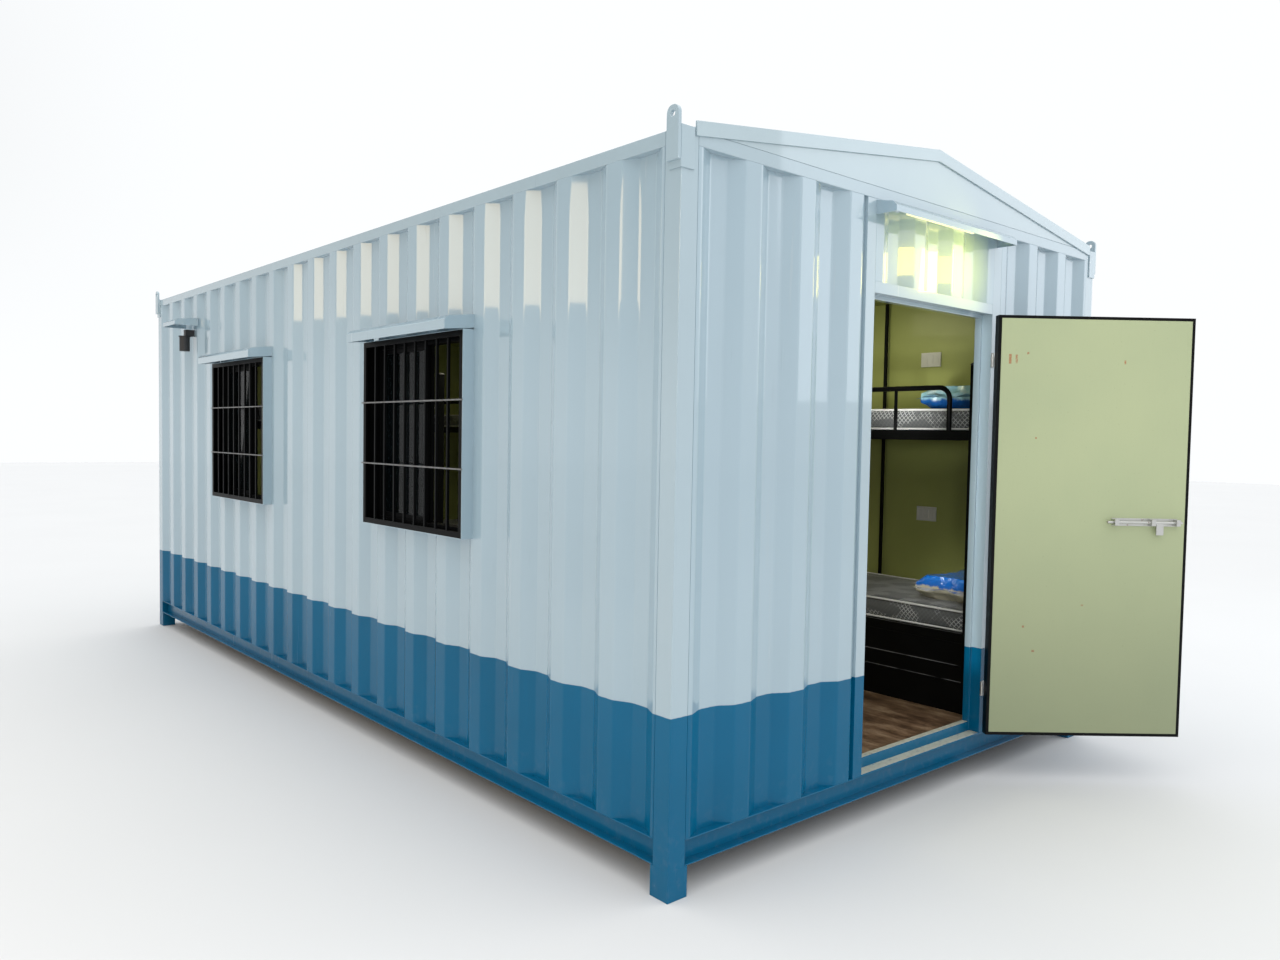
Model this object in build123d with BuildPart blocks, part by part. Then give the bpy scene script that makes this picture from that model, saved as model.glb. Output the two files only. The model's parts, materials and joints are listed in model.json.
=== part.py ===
from build123d import *
import math
import os

# Portable cabin of corrugated steel with bunk beds inside, in millimetres.
# X runs across the cabin, Y along it with the door at the low end, Z up from the ground.

# Overall frame
length = 6100.0
width = 3050.0
eave_height = 2620.0
ridge_rise = 235.0
leg_height = 110.0
leg_size = 92.0
leg_wall = 6.0
foot_plate = 10.0
post_size = 80.0
post_wall = 4.0
base_rail_height = 95.0
base_rail_flange = 45.0
base_rail_wall = 5.0
top_rail_size = 50.0
top_rail_wall = 3.0

# Lifting lugs
lug_wrap = 62.0
lug_wrap_plate = 6.0
lug_wrap_drop = 135.0
lug_wrap_rise = 5.0
lug_plate = 14.0
lug_width = 58.0
lug_drop = 110.0
lug_rise = 70.0
lug_hole = 22.0
lug_round_share = 0.45

# Corrugated sheet
sheet = 2.0
rib_flat = 84.0
rib_slope = 68.0
recess_flat = 80.0
recess_depth = 34.0
end_margin = 20.0

# Walls, floor and ceiling
lining = 10.0
lining_joint = 3.0
lining_board = 1220.0
floor_rise = 45.0
floor_thickness = 20.0
joist_depth = 75.0
joist_width = 50.0
joist_wall = 4.0
joist_pitch = 610.0
ceiling_drop = 170.0
ceiling_thickness = 10.0

# Roof
roof_rib_depth = 18.0
eave_strip = 150.0
eave_strip_lap = 20.0
gable_sheet = 3.0
barge_height = 50.0
barge_plate = 8.0
ridge_wing = 110.0
ridge_gap = 4.0

# Windows
window_width = 963.0
window_height = 908.0
window_head_drop = 526.0
window_centres = (1766.0, 4118.0)
surround_proud = 55.0
surround_sheet = 3.0
window_frame = 32.0
window_frame_depth = 56.0
sash_bar = 24.0
sash_depth = 20.0
sash_gap = 4.0
glass = 5.0
grille_frame = 26.0
grille_depth = 12.0
grille_bars = 8
grille_bar = 12.0
grille_rods = 2
grille_rod = 7.0
grille_rod_over = 8.0

# Sheet hoods over the windows, the door and the power inlet
hood_sheet = 2.0
hood_lip = 24.0
window_hood_lip = 40.0
hood_break = 18.0
window_hood_reach = 145.0
window_hood_rise = 66.0
hood_fall = 34.0
door_hood_reach = 96.0
door_hood_low = 1085.0
door_hood_high = 2045.0
door_hood_drop = 55.0
inlet_hood_reach = 160.0
inlet_hood_width = 290.0
inlet_hood_inset = 730.0
inlet_hood_drop = 220.0

# Power inlet under its hood
inlet_shift = 110.0
inlet_diameter = 70.0
inlet_length = 110.0
inlet_cap = 6.0
inlet_bracket = 46.0
inlet_offset = 62.0
inlet_drop = 70.0

# Doorway
doorway_low = 1090.0
doorway_high = 2020.0
transom_height = 328.0
latch_jamb = 60.0
hinge_jamb = 70.0
jamb_wall = 4.0
head_height = 47.0
stop_width = 15.0
sill_plate = 6.0
lamp_length = 520.0
lamp_depth = 30.0
lamp_height = 14.0
lamp_rise = 8.0
lamp_round_share = 0.4

# Door leaf
leaf_thickness = 45.0
leaf_gap = 5.0
latch_gap = 7.0
leaf_end_gap = 8.0
leaf_open_angle = 139.7
edge_bar = 14.0
inner_panel = 6.0

# Hinges
hinge_inset = 206.0
hinge_height = 66.0
hinge_pin = 9.0
hinge_barrel = 16.0
hinge_barrel_share = 0.45
hinge_leaf = 4.0
hinge_leaf_width = 34.0
hinge_clearance = 0.3

# Sliding bolt on the inner face of the door
bolt_rise = 1016.0
bolt_diameter = 12.0
bolt_length = 352.0
bolt_tip_inset = 36.0
bolt_standoff = 20.0
bolt_clearance = 0.3
bolt_plate = 3.0
bolt_plate_height = 36.0
bolt_staple = 20.0
bolt_staple_rim = 9.0
bolt_staple_shares = (0.04, 0.37, 0.86)
bolt_tab_share = 0.25
bolt_tab_width = 34.0
bolt_tab_drop = 58.0
bolt_tab_plate = 6.0
keeper_length = 22.0
keeper_height = 34.0
keeper_bore = 18.0

# Bunk beds along the long walls
bunk_width = 860.0
bunk_length = 1950.0
bunk_wall_gap = 10.0
bunk_end_gap = 30.0
near_bunk_gap = 950.0
bunk_post = 40.0
bunk_post_wall = 3.0
bunk_post_height = 1720.0
bunk_stay = 17.0
bunk_stay_place = 1115.0
bunk_stay_gap = 5.0
bunk_rail = 30.0
lower_deck_rise = 398.0
upper_deck_rise = 1403.0
deck_rail_height = 48.0
deck_board = 12.0
base_panel = 16.0
base_groove = 5.0
base_groove_shares = (0.43, 0.66)
guard_tube = 26.0
guard_sides = 8
guard_post = 18.0
guard_height = 214.0
guard_bend = 60.0
guard_low = 160.0
guard_high = 1580.0
guard_post_shares = (0.22, 0.5, 0.78)
mattress_height = 114.0
mattress_edge = 18.0
seat_gap = 0.3
pillow_length = 600.0
pillow_width = 420.0
pillow_height = 120.0
pillow_corner = 90.0
pillow_taper = 40.0
pillow_place = 255.0

# Socket plates on the far lining
socket_width = 132.0
socket_height = 86.0
socket_plate = 9.0
socket_place = 915.0
lower_socket_rise = 509.0
upper_socket_drop = 360.0

# Derived places
wall_depth = post_size
stop_depth = wall_depth - leaf_thickness - leaf_gap
rail_top = leg_height + base_rail_height
sheet_top = eave_height - top_rail_size
ridge_height = eave_height + ridge_rise
half_width = width / 2
half_length = length / 2
room_width = width - 2 * wall_depth
room_length = length - 2 * wall_depth
floor_top = rail_top + floor_rise
floor_low = floor_top - floor_thickness
ceiling_height = eave_height - ceiling_drop
lining_top = ceiling_height + ceiling_thickness
window_top = sheet_top - window_head_drop
window_sill = window_top - window_height
hood_top = window_top + window_hood_rise
door_hood_top = eave_height - door_hood_drop
inlet_hood_top = eave_height - inlet_hood_drop
inlet_hood_low = length - inlet_hood_inset - inlet_hood_width
head_top = sheet_top - transom_height
doorway_top = head_top - head_height
latch_edge = doorway_low - latch_jamb
hinge_edge = doorway_high + hinge_jamb
pitch = rib_flat + 2 * rib_slope + recess_flat
recess_width = 2 * rib_slope + recess_flat
overrun = sheet

# The open leaf reaches out in front of the door end, and the part is centred with it
barrel_offset = hinge_barrel / 2
leaf_width = doorway_high - doorway_low - leaf_gap - latch_gap
leaf_low = rail_top + sill_plate + leaf_end_gap
leaf_high = doorway_top - leaf_end_gap
leaf_turn = math.radians(leaf_open_angle - 180.0)
leaf_reach = barrel_offset - (leaf_gap + leaf_width) * math.sin(leaf_turn)
leaf_corner = (barrel_offset + leaf_thickness) * math.cos(leaf_turn)
cabin_mid_y = (leaf_reach + leaf_corner) / 2

os.makedirs("parts", exist_ok=True)


def across(distance):
    """X of a point at a distance from the near wall's outer face."""
    return distance - half_width


def along(distance):
    """Y of a point at a distance from the door end's outer face."""
    return distance - half_length + cabin_mid_y


def level(height):
    """Horizontal plane at a height, centred on the cabin."""
    return Plane(origin=(0, cabin_mid_y, height))


mid_cross = Plane(origin=(0, cabin_mid_y, 0), x_dir=(1, 0, 0), z_dir=(0, 1, 0))


def turn_to_far_side():
    """Turns the part in hand half a turn about the cabin's upright middle line."""
    mirror(about=Plane.YZ, mode=Mode.REPLACE)
    mirror(about=mid_cross, mode=Mode.REPLACE)


def block(x_span, y_span, z_span, mode=Mode.ADD):
    """Adds a box to the part in hand, from (low, high) pairs along X, Y and Z."""
    spans = (x_span, y_span, z_span)
    with Locations(tuple(sum(span) / 2 for span in spans)):
        Box(*[high - low for low, high in spans], mode=mode)


def sheet_depth(place, first_recess):
    """Depth of the corrugation at a place along the sheet, zero on the outer ribs."""
    local = (place - first_recess) % pitch
    if local <= rib_slope:
        return recess_depth * local / rib_slope
    if local <= rib_slope + recess_flat:
        return recess_depth
    if local <= recess_width:
        return recess_depth * (recess_width - local) / rib_slope
    return 0


def sheet_line(low, high, first_recess):
    """Points (place, depth) of the corrugation's outer face between two places."""
    breaks = [low, high]
    start = first_recess + pitch * math.floor((low - first_recess) / pitch)
    while start < high:
        for step in (0, rib_slope, rib_slope + recess_flat, recess_width):
            if low < start + step < high:
                breaks.append(start + step)
        start += pitch
    return [(place, sheet_depth(place, first_recess)) for place in sorted(breaks)]


def first_recess_centred(low, high):
    """Start of the first recess where whole recesses are centred between two places."""
    count = math.floor((high - low - recess_width) / pitch)
    return (low + high - recess_width - count * pitch) / 2


def side_sheet(low, high, z_low, z_high, first_recess):
    """Adds a corrugated sheet of the near wall between two places along the cabin."""
    line = sheet_line(low, high, first_recess)
    outer = [(across(depth), along(place)) for place, depth in line]
    inner = [(across(depth + sheet), along(place)) for place, depth in reversed(line)]
    with BuildSketch(Plane.XY.offset(z_low)) as outline:
        with BuildLine():
            Polyline(*outer, *inner, close=True)
        make_face()
    extrude(outline.sketch, amount=z_high - z_low)


def end_sheet(low, high, z_low, z_high, first_recess):
    """Adds a corrugated sheet of the door end between two places across the cabin."""
    line = sheet_line(low, high, first_recess)
    outer = [(across(place), along(depth)) for place, depth in line]
    inner = [(across(place), along(depth + sheet)) for place, depth in reversed(line)]
    with BuildSketch(Plane.XY.offset(z_low)) as outline:
        with BuildLine():
            Polyline(*outer, *inner, close=True)
        make_face()
    extrude(outline.sketch, amount=z_high - z_low)


def rail_section(plane, amount):
    """Adds a channel rail whose open side faces outwards along the plane's low X."""
    with BuildSketch(plane) as section:
        Rectangle(base_rail_flange, base_rail_height, align=(Align.MIN, Align.MIN))
        with Locations((0, base_rail_wall)):
            Rectangle(
                base_rail_flange - base_rail_wall,
                base_rail_height - 2 * base_rail_wall,
                align=(Align.MIN, Align.MIN),
                mode=Mode.SUBTRACT,
            )
    extrude(section.sketch, amount=amount)


def tube_section(plane, x_size, y_size, wall, amount):
    """Adds a rectangular tube whose low corner is at the plane's origin."""
    with BuildSketch(plane) as section:
        Rectangle(x_size, y_size, align=(Align.MIN, Align.MIN))
        with Locations((wall, wall)):
            Rectangle(
                x_size - 2 * wall,
                y_size - 2 * wall,
                align=(Align.MIN, Align.MIN),
                mode=Mode.SUBTRACT,
            )
    extrude(section.sketch, amount=amount)


def hood(plane, span, reach, fall, lip):
    """Adds a bent sheet hood with end cheeks; the plane's X points out of the wall, Y up."""
    front_top = -fall
    front_low = front_top - lip
    bend_x = reach - hood_break
    bend_y = front_top + hood_break
    edge = [(0, 0), (bend_x, bend_y), (reach, front_top), (reach, front_low)]
    back = [(reach - hood_sheet, front_low), (reach - hood_sheet, front_top - hood_sheet)]
    back += [(bend_x - hood_sheet, bend_y - hood_sheet), (0, -hood_sheet)]
    with BuildSketch(plane) as bend:
        with BuildLine():
            Polyline(*edge, *back, close=True)
        make_face()
    extrude(bend.sketch, amount=span)
    for start in (0, span - hood_sheet):
        with BuildSketch(plane.offset(start)) as cheek:
            with BuildLine():
                Polyline(*edge, (0, front_top - hood_lip), close=True)
            make_face()
        extrude(cheek.sketch, amount=hood_sheet)


# Legs under the four corners, box section closed by a foot plate
with BuildPart() as corner_legs:
    with BuildSketch(level(0)):
        with GridLocations(width - leg_size, length - leg_size, 2, 2):
            Rectangle(leg_size, leg_size)
    extrude(amount=leg_height)
    with BuildSketch(level(foot_plate)):
        with GridLocations(width - leg_size, length - leg_size, 2, 2):
            Rectangle(leg_size - 2 * leg_wall, leg_size - 2 * leg_wall)
    extrude(amount=leg_height, mode=Mode.SUBTRACT)
corner_legs.part.label = "corner_legs"
export_step(corner_legs.part, "parts/corner_legs.step")

# Corner posts on the legs
with BuildPart() as corner_posts:
    with BuildSketch(level(leg_height)):
        with GridLocations(width - post_size, length - post_size, 2, 2):
            Rectangle(post_size, post_size)
            Rectangle(post_size - 2 * post_wall, post_size - 2 * post_wall, mode=Mode.SUBTRACT)
    extrude(amount=eave_height - leg_height)
corner_posts.part.label = "corner_posts"
export_step(corner_posts.part, "parts/corner_posts.step")

# Lifting lugs: an angle round each post head with an eye plate on the long side
lug_face = Plane(
    origin=(across(-lug_wrap_plate), along(lug_wrap / 2 - lug_wrap_plate), 0),
    x_dir=(0, -1, 0),
    z_dir=(-1, 0, 0),
)
with BuildPart() as lifting_lugs:
    with BuildSketch(Plane.XY.offset(eave_height - lug_wrap_drop)):
        with Locations((across(-lug_wrap_plate), along(-lug_wrap_plate))):
            Rectangle(lug_wrap, lug_wrap, align=(Align.MIN, Align.MIN))
        with Locations((across(0), along(0))):
            Rectangle(lug_wrap, lug_wrap, align=(Align.MIN, Align.MIN), mode=Mode.SUBTRACT)
    extrude(amount=lug_wrap_drop + lug_wrap_rise)
    with BuildSketch(lug_face):
        with Locations((0, eave_height - lug_drop)):
            Rectangle(lug_width, lug_drop + lug_rise, align=(Align.CENTER, Align.MIN))
        fillet(vertices().group_by(Axis.Y)[-1], radius=lug_width * lug_round_share)
        with Locations((0, eave_height + lug_rise - lug_width / 2)):
            Circle(lug_hole / 2, mode=Mode.SUBTRACT)
    extrude(amount=lug_plate)
    mirror(about=Plane.YZ)
    mirror(about=mid_cross)
lifting_lugs.part.label = "lifting_lugs"
export_step(lifting_lugs.part, "parts/lifting_lugs.step")

# Channel rails round the base, their open sides facing out
side_run = length - 2 * post_size
end_run = width - 2 * post_size
with BuildPart() as base_side_rails:
    rail_section(
        Plane(origin=(across(0), along(post_size), leg_height), x_dir=(1, 0, 0), z_dir=(0, -1, 0)),
        -side_run,
    )
    mirror(about=Plane.YZ)
base_side_rails.part.label = "base_side_rails"
export_step(base_side_rails.part, "parts/base_side_rails.step")

with BuildPart() as base_end_rails:
    rail_section(
        Plane(origin=(across(post_size), along(0), leg_height), x_dir=(0, 1, 0), z_dir=(1, 0, 0)),
        end_run,
    )
    mirror(about=mid_cross)
base_end_rails.part.label = "base_end_rails"
export_step(base_end_rails.part, "parts/base_end_rails.step")

# Floor joists between the side rails, and the floor board on them
joist_count = math.floor((length - 2 * wall_depth - joist_width) / joist_pitch) + 1
joist_span = width - 2 * base_rail_flange
with BuildPart() as floor_joists:
    with BuildSketch(
        Plane(
            origin=(-joist_span / 2, cabin_mid_y, floor_low - joist_depth / 2),
            x_dir=(0, 1, 0),
            z_dir=(1, 0, 0),
        )
    ):
        with GridLocations(joist_pitch, 0, joist_count, 1):
            Rectangle(joist_width, joist_depth)
            Rectangle(joist_width - 2 * joist_wall, joist_depth - 2 * joist_wall, mode=Mode.SUBTRACT)
    extrude(amount=joist_span)
floor_joists.part.label = "floor_joists"
export_step(floor_joists.part, "parts/floor_joists.step")

with BuildPart() as floor_board:
    with BuildSketch(level(floor_low)):
        Rectangle(room_width, room_length)
    extrude(amount=floor_thickness)
floor_board.part.label = "floor_board"
export_step(floor_board.part, "parts/floor_board.step")

# Top rails between the corner posts
with BuildPart() as top_side_rails:
    tube_section(
        Plane(origin=(across(0), along(post_size), sheet_top), x_dir=(1, 0, 0), z_dir=(0, -1, 0)),
        top_rail_size,
        top_rail_size,
        top_rail_wall,
        -side_run,
    )
    mirror(about=Plane.YZ)
top_side_rails.part.label = "top_side_rails"
export_step(top_side_rails.part, "parts/top_side_rails.step")

with BuildPart() as top_end_rails:
    tube_section(
        Plane(origin=(across(post_size), along(0), sheet_top), x_dir=(0, 1, 0), z_dir=(1, 0, 0)),
        top_rail_size,
        top_rail_size,
        top_rail_wall,
        end_run,
    )
    mirror(about=mid_cross)
top_end_rails.part.label = "top_end_rails"
export_step(top_end_rails.part, "parts/top_end_rails.step")

# Corrugated long walls: full height panels between the windows, short ones over and under them
side_first = first_recess_centred(post_size, length - post_size)
window_spans = [(place - window_width / 2, place + window_width / 2) for place in window_centres]
panel_edges = [post_size]
for span in window_spans:
    panel_edges.extend(span)
panel_edges.append(length - post_size)
panel_spans = list(zip(panel_edges[0::2], panel_edges[1::2]))

with BuildPart() as near_wall_panels:
    for low, high in panel_spans:
        side_sheet(low, high, rail_top, sheet_top, side_first)
near_wall_panels.part.label = "near_wall_panels"
export_step(near_wall_panels.part, "parts/near_wall_panels.step")

with BuildPart() as far_wall_panels:
    for low, high in panel_spans:
        side_sheet(low, high, rail_top, sheet_top, side_first)
    turn_to_far_side()
far_wall_panels.part.label = "far_wall_panels"
export_step(far_wall_panels.part, "parts/far_wall_panels.step")

with BuildPart() as near_window_bays:
    for low, high in window_spans:
        side_sheet(low, high, rail_top, window_sill, side_first)
        side_sheet(low, high, window_top, sheet_top, side_first)
near_window_bays.part.label = "near_window_bays"
export_step(near_window_bays.part, "parts/near_window_bays.step")

with BuildPart() as far_window_bays:
    for low, high in window_spans:
        side_sheet(low, high, rail_top, window_sill, side_first)
        side_sheet(low, high, window_top, sheet_top, side_first)
    turn_to_far_side()
far_window_bays.part.label = "far_window_bays"
export_step(far_window_bays.part, "parts/far_window_bays.step")

# Corrugated ends: a panel each side of the doorway, one over it, and a plain back wall
with BuildPart() as door_end_panels:
    end_sheet(post_size, latch_edge, rail_top, sheet_top, post_size + end_margin)
    end_sheet(
        hinge_edge, width - post_size, rail_top, sheet_top, width - post_size - end_margin - recess_width
    )
door_end_panels.part.label = "door_end_panels"
export_step(door_end_panels.part, "parts/door_end_panels.step")

with BuildPart() as door_transom:
    end_sheet(
        doorway_low, doorway_high, head_top, sheet_top, first_recess_centred(doorway_low, doorway_high)
    )
door_transom.part.label = "door_transom"
export_step(door_transom.part, "parts/door_transom.step")

with BuildPart() as back_wall_panel:
    end_sheet(
        post_size,
        width - post_size,
        rail_top,
        sheet_top,
        first_recess_centred(post_size, width - post_size),
    )
    mirror(about=mid_cross, mode=Mode.REPLACE)
back_wall_panel.part.label = "back_wall_panel"
export_step(back_wall_panel.part, "parts/back_wall_panel.step")

# Roof: gable sheets on the end rails, ribbed slopes that end in flat eave strips, a ridge cap and barges
roof_rise = ridge_height - eave_height - roof_rib_depth - 2 * sheet
roof_angle = math.atan2(roof_rise, half_width)
slope_run = math.hypot(half_width, roof_rise)
with BuildPart() as gables:
    with BuildSketch(Plane(origin=(0, along(0), 0), x_dir=(1, 0, 0), z_dir=(0, -1, 0))):
        with BuildLine():
            Polyline(
                (-half_width, eave_height),
                (half_width, eave_height),
                (0, eave_height + roof_rise),
                close=True,
            )
        make_face()
    extrude(amount=-gable_sheet)
    mirror(about=mid_cross)
gables.part.label = "gables"
export_step(gables.part, "parts/gables.step")

roof_slope = Plane(
    origin=(-half_width, cabin_mid_y, eave_height),
    x_dir=(0, 1, 0),
    z_dir=(math.cos(roof_angle), 0, math.sin(roof_angle)),
)
roof_scale = roof_rib_depth / recess_depth
roof_line = sheet_line(0, length, first_recess_centred(0, length))
roof_crest = roof_rib_depth + sheet
roof_upper = [(place - half_length, roof_crest - depth * roof_scale) for place, depth in roof_line]
roof_lower = [(place, height - sheet) for place, height in reversed(roof_upper)]
ribs_start = eave_strip - eave_strip_lap
strip_start = sheet / math.tan(roof_angle)
with BuildPart() as roof_panels:
    with BuildSketch(roof_slope.offset(ribs_start)):
        with BuildLine():
            Polyline(*roof_upper, *roof_lower, close=True)
        make_face()
    extrude(amount=slope_run - ridge_gap - ribs_start)
    with BuildSketch(roof_slope.offset(strip_start)):
        Rectangle(length - 2 * gable_sheet, sheet, align=(Align.CENTER, Align.MAX))
    extrude(amount=eave_strip - strip_start)
    mirror(about=Plane.YZ)
roof_panels.part.label = "roof_panels"
export_step(roof_panels.part, "parts/roof_panels.step")

ridge_low = eave_height + roof_rise + (roof_rib_depth + sheet) / math.cos(roof_angle)
wing_fall = ridge_wing * math.tan(roof_angle)
with BuildPart() as ridge_cap:
    with BuildSketch(Plane(origin=(0, along(0), 0), x_dir=(1, 0, 0), z_dir=(0, -1, 0))):
        with BuildLine():
            Polyline(
                (-ridge_wing, ridge_low - wing_fall),
                (0, ridge_low),
                (ridge_wing, ridge_low - wing_fall),
                (ridge_wing, ridge_low - wing_fall + sheet),
                (0, ridge_low + sheet),
                (-ridge_wing, ridge_low - wing_fall + sheet),
                close=True,
            )
        make_face()
    extrude(amount=-length)
ridge_cap.part.label = "ridge_cap"
export_step(ridge_cap.part, "parts/ridge_cap.step")

barge_start = half_width - lug_wrap
barge_fall = barge_start * math.tan(roof_angle)
with BuildPart() as barge_trims:
    with BuildSketch(Plane(origin=(0, along(0), 0), x_dir=(1, 0, 0), z_dir=(0, -1, 0))):
        with BuildLine():
            Polyline(
                (-barge_start, ridge_low - barge_fall),
                (0, ridge_low),
                (0, ridge_low - barge_height),
                (-barge_start, ridge_low - barge_fall - barge_height),
                close=True,
            )
        make_face()
        mirror(about=Plane.YZ)
    extrude(amount=barge_plate)
    mirror(about=mid_cross)
barge_trims.part.label = "barge_trims"
export_step(barge_trims.part, "parts/barge_trims.step")


def side_boards():
    """Adds the near wall's lining boards, cut round the windows and at the board joints."""
    lining_x = (across(wall_depth - lining), across(wall_depth))
    lining_z = (floor_low, lining_top)
    block(lining_x, (along(wall_depth), along(length - wall_depth)), lining_z)
    for low, high in window_spans:
        block(lining_x, (along(low), along(high)), (window_sill, window_top), Mode.SUBTRACT)
        for edge in (low - lining_joint, high):
            block(lining_x, (along(edge), along(edge + lining_joint)), lining_z, Mode.SUBTRACT)
    joint = lining_board
    while joint < length - wall_depth:
        if not any(low - lining_board / 2 < joint < high for low, high in window_spans):
            block(lining_x, (along(joint), along(joint + lining_joint)), lining_z, Mode.SUBTRACT)
        joint += lining_board


with BuildPart() as near_lining:
    side_boards()
near_lining.part.label = "near_lining"
export_step(near_lining.part, "parts/near_lining.step")

with BuildPart() as far_lining:
    side_boards()
    turn_to_far_side()
far_lining.part.label = "far_lining"
export_step(far_lining.part, "parts/far_lining.step")

# End linings beside and over the doorway and across the back, between the side linings
end_lining_span = (floor_low, lining_top)
door_lining_y = (along(wall_depth - lining), along(wall_depth))
back_lining_y = (along(length - wall_depth), along(length - wall_depth + lining))
with BuildPart() as end_linings:
    block((across(wall_depth), across(latch_edge)), door_lining_y, end_lining_span)
    block((across(hinge_edge), across(width - wall_depth)), door_lining_y, end_lining_span)
    block((across(doorway_low), across(doorway_high)), door_lining_y, (head_top, lining_top))
    block((across(wall_depth), across(width - wall_depth)), back_lining_y, end_lining_span)
end_linings.part.label = "end_linings"
export_step(end_linings.part, "parts/end_linings.step")

with BuildPart() as ceiling_board:
    with BuildSketch(level(ceiling_height)):
        Rectangle(room_width, room_length)
    extrude(amount=ceiling_thickness)
ceiling_board.part.label = "ceiling_board"
export_step(ceiling_board.part, "parts/ceiling_board.step")

# Door frame: tube jambs with stops, a head and a stepped sill
stop_y = (along(wall_depth - stop_depth), along(wall_depth))
with BuildPart() as door_jambs:
    for low, size in ((latch_edge, latch_jamb), (doorway_high, hinge_jamb)):
        tube_section(
            Plane(origin=(across(low), along(0), rail_top)),
            size,
            wall_depth,
            jamb_wall,
            sheet_top - rail_top,
        )
    block((across(doorway_low), across(doorway_low + stop_width)), stop_y, (rail_top, doorway_top))
    block((across(doorway_high - stop_width), across(doorway_high)), stop_y, (rail_top, doorway_top))
door_jambs.part.label = "door_jambs"
export_step(door_jambs.part, "parts/door_jambs.step")

with BuildPart() as door_head:
    tube_section(
        Plane(origin=(across(doorway_low), along(0), doorway_top), x_dir=(0, 1, 0), z_dir=(1, 0, 0)),
        wall_depth,
        head_height,
        jamb_wall,
        doorway_high - doorway_low,
    )
    block(
        (across(doorway_low + stop_width), across(doorway_high - stop_width)),
        stop_y,
        (doorway_top - stop_width, doorway_top),
    )
door_head.part.label = "door_head"
export_step(door_head.part, "parts/door_head.step")

with BuildPart() as door_sill:
    block(
        (across(doorway_low), across(doorway_high)),
        (along(0), along(wall_depth - stop_depth)),
        (rail_top, rail_top + sill_plate),
    )
    block(
        (across(doorway_low + stop_width), across(doorway_high - stop_width)),
        stop_y,
        (rail_top, floor_top + sill_plate),
    )
door_sill.part.label = "door_sill"
export_step(door_sill.part, "parts/door_sill.step")

# Bent sheet hoods over the windows, the doorway and the power inlet
with BuildPart() as rain_hoods:
    for side, heading in ((-1, (0, 1, 0)), (1, (0, -1, 0))):
        for low, high in window_spans:
            hood(
                Plane(
                    origin=(side * half_width, cabin_mid_y - side * (low - half_length), hood_top),
                    x_dir=(side, 0, 0),
                    z_dir=heading,
                ),
                high - low,
                window_hood_reach,
                hood_fall,
                window_hood_lip,
            )
    hood(
        Plane(origin=(across(0), along(inlet_hood_low), inlet_hood_top), x_dir=(-1, 0, 0), z_dir=(0, 1, 0)),
        inlet_hood_width,
        inlet_hood_reach,
        hood_fall,
        hood_lip,
    )
    hood(
        Plane(origin=(across(door_hood_high), along(0), door_hood_top), x_dir=(0, -1, 0), z_dir=(-1, 0, 0)),
        door_hood_high - door_hood_low,
        door_hood_reach,
        hood_fall,
        hood_lip,
    )
rain_hoods.part.label = "rain_hoods"
export_step(rain_hoods.part, "parts/rain_hoods.step")

# Slim lamp under the door hood, fixed to the ribs over the doorway
lamp_low = door_hood_top - hood_fall + lamp_rise
lamp_high = (doorway_low + doorway_high + lamp_length) / 2
with BuildPart() as door_lamp:
    with BuildSketch(
        Plane(origin=(across(lamp_high), along(0), lamp_low), x_dir=(0, -1, 0), z_dir=(-1, 0, 0))
    ):
        Rectangle(lamp_depth, lamp_height, align=(Align.MIN, Align.MIN))
        fillet(vertices().group_by(Axis.X)[-1], radius=lamp_height * lamp_round_share)
    extrude(amount=lamp_length)
door_lamp.part.label = "door_lamp"
export_step(door_lamp.part, "parts/door_lamp.step")

# Power inlet: a bracket on the wall carrying a capped round housing
inlet_top = inlet_hood_top - hood_fall - hood_lip - inlet_drop
inlet_place = inlet_hood_low + inlet_shift
with BuildPart() as power_inlet:
    block(
        (across(-inlet_offset), across(0)),
        (along(inlet_place - inlet_bracket / 2), along(inlet_place + inlet_bracket / 2)),
        (inlet_top, inlet_top + inlet_bracket),
    )
    with Locations((across(-inlet_offset), along(inlet_place), inlet_top)):
        Cylinder(inlet_diameter / 2, inlet_length, align=(Align.CENTER, Align.CENTER, Align.MAX))
        Cylinder(inlet_diameter / 2 + inlet_cap, inlet_cap, align=(Align.CENTER, Align.CENTER, Align.MAX))
power_inlet.part.label = "power_inlet"
export_step(power_inlet.part, "parts/power_inlet.step")

# Windows: sheet surround through the wall, sliding frame, panes and a bar grille in front
clear_width = window_width - 2 * surround_sheet
clear_height = window_height - 2 * surround_sheet
window_mid = window_sill + window_height / 2


def window_planes(depth):
    """Planes facing out of the long walls at a depth behind their faces, one at each window's middle."""
    planes = []
    for place in window_centres:
        x, y = across(depth), along(place)
        planes.append(Plane(origin=(x, y, window_mid), x_dir=(0, -1, 0), z_dir=(-1, 0, 0)))
        planes.append(
            Plane(origin=(-x, 2 * cabin_mid_y - y, window_mid), x_dir=(0, 1, 0), z_dir=(1, 0, 0))
        )
    return planes


with BuildPart() as window_surrounds:
    for plane in window_planes(wall_depth):
        with BuildSketch(plane) as ring:
            Rectangle(window_width, window_height)
            Rectangle(clear_width, clear_height, mode=Mode.SUBTRACT)
        extrude(ring.sketch, amount=wall_depth + surround_proud)
window_surrounds.part.label = "window_surrounds"
export_step(window_surrounds.part, "parts/window_surrounds.step")

frame_width = clear_width - 2 * window_frame
frame_height = clear_height - 2 * window_frame
with BuildPart() as window_frames:
    for plane in window_planes(wall_depth):
        with BuildSketch(plane) as ring:
            Rectangle(clear_width, clear_height)
            Rectangle(frame_width, frame_height, mode=Mode.SUBTRACT)
        extrude(ring.sketch, amount=window_frame_depth)
window_frames.part.label = "window_frames"
export_step(window_frames.part, "parts/window_frames.step")

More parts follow.
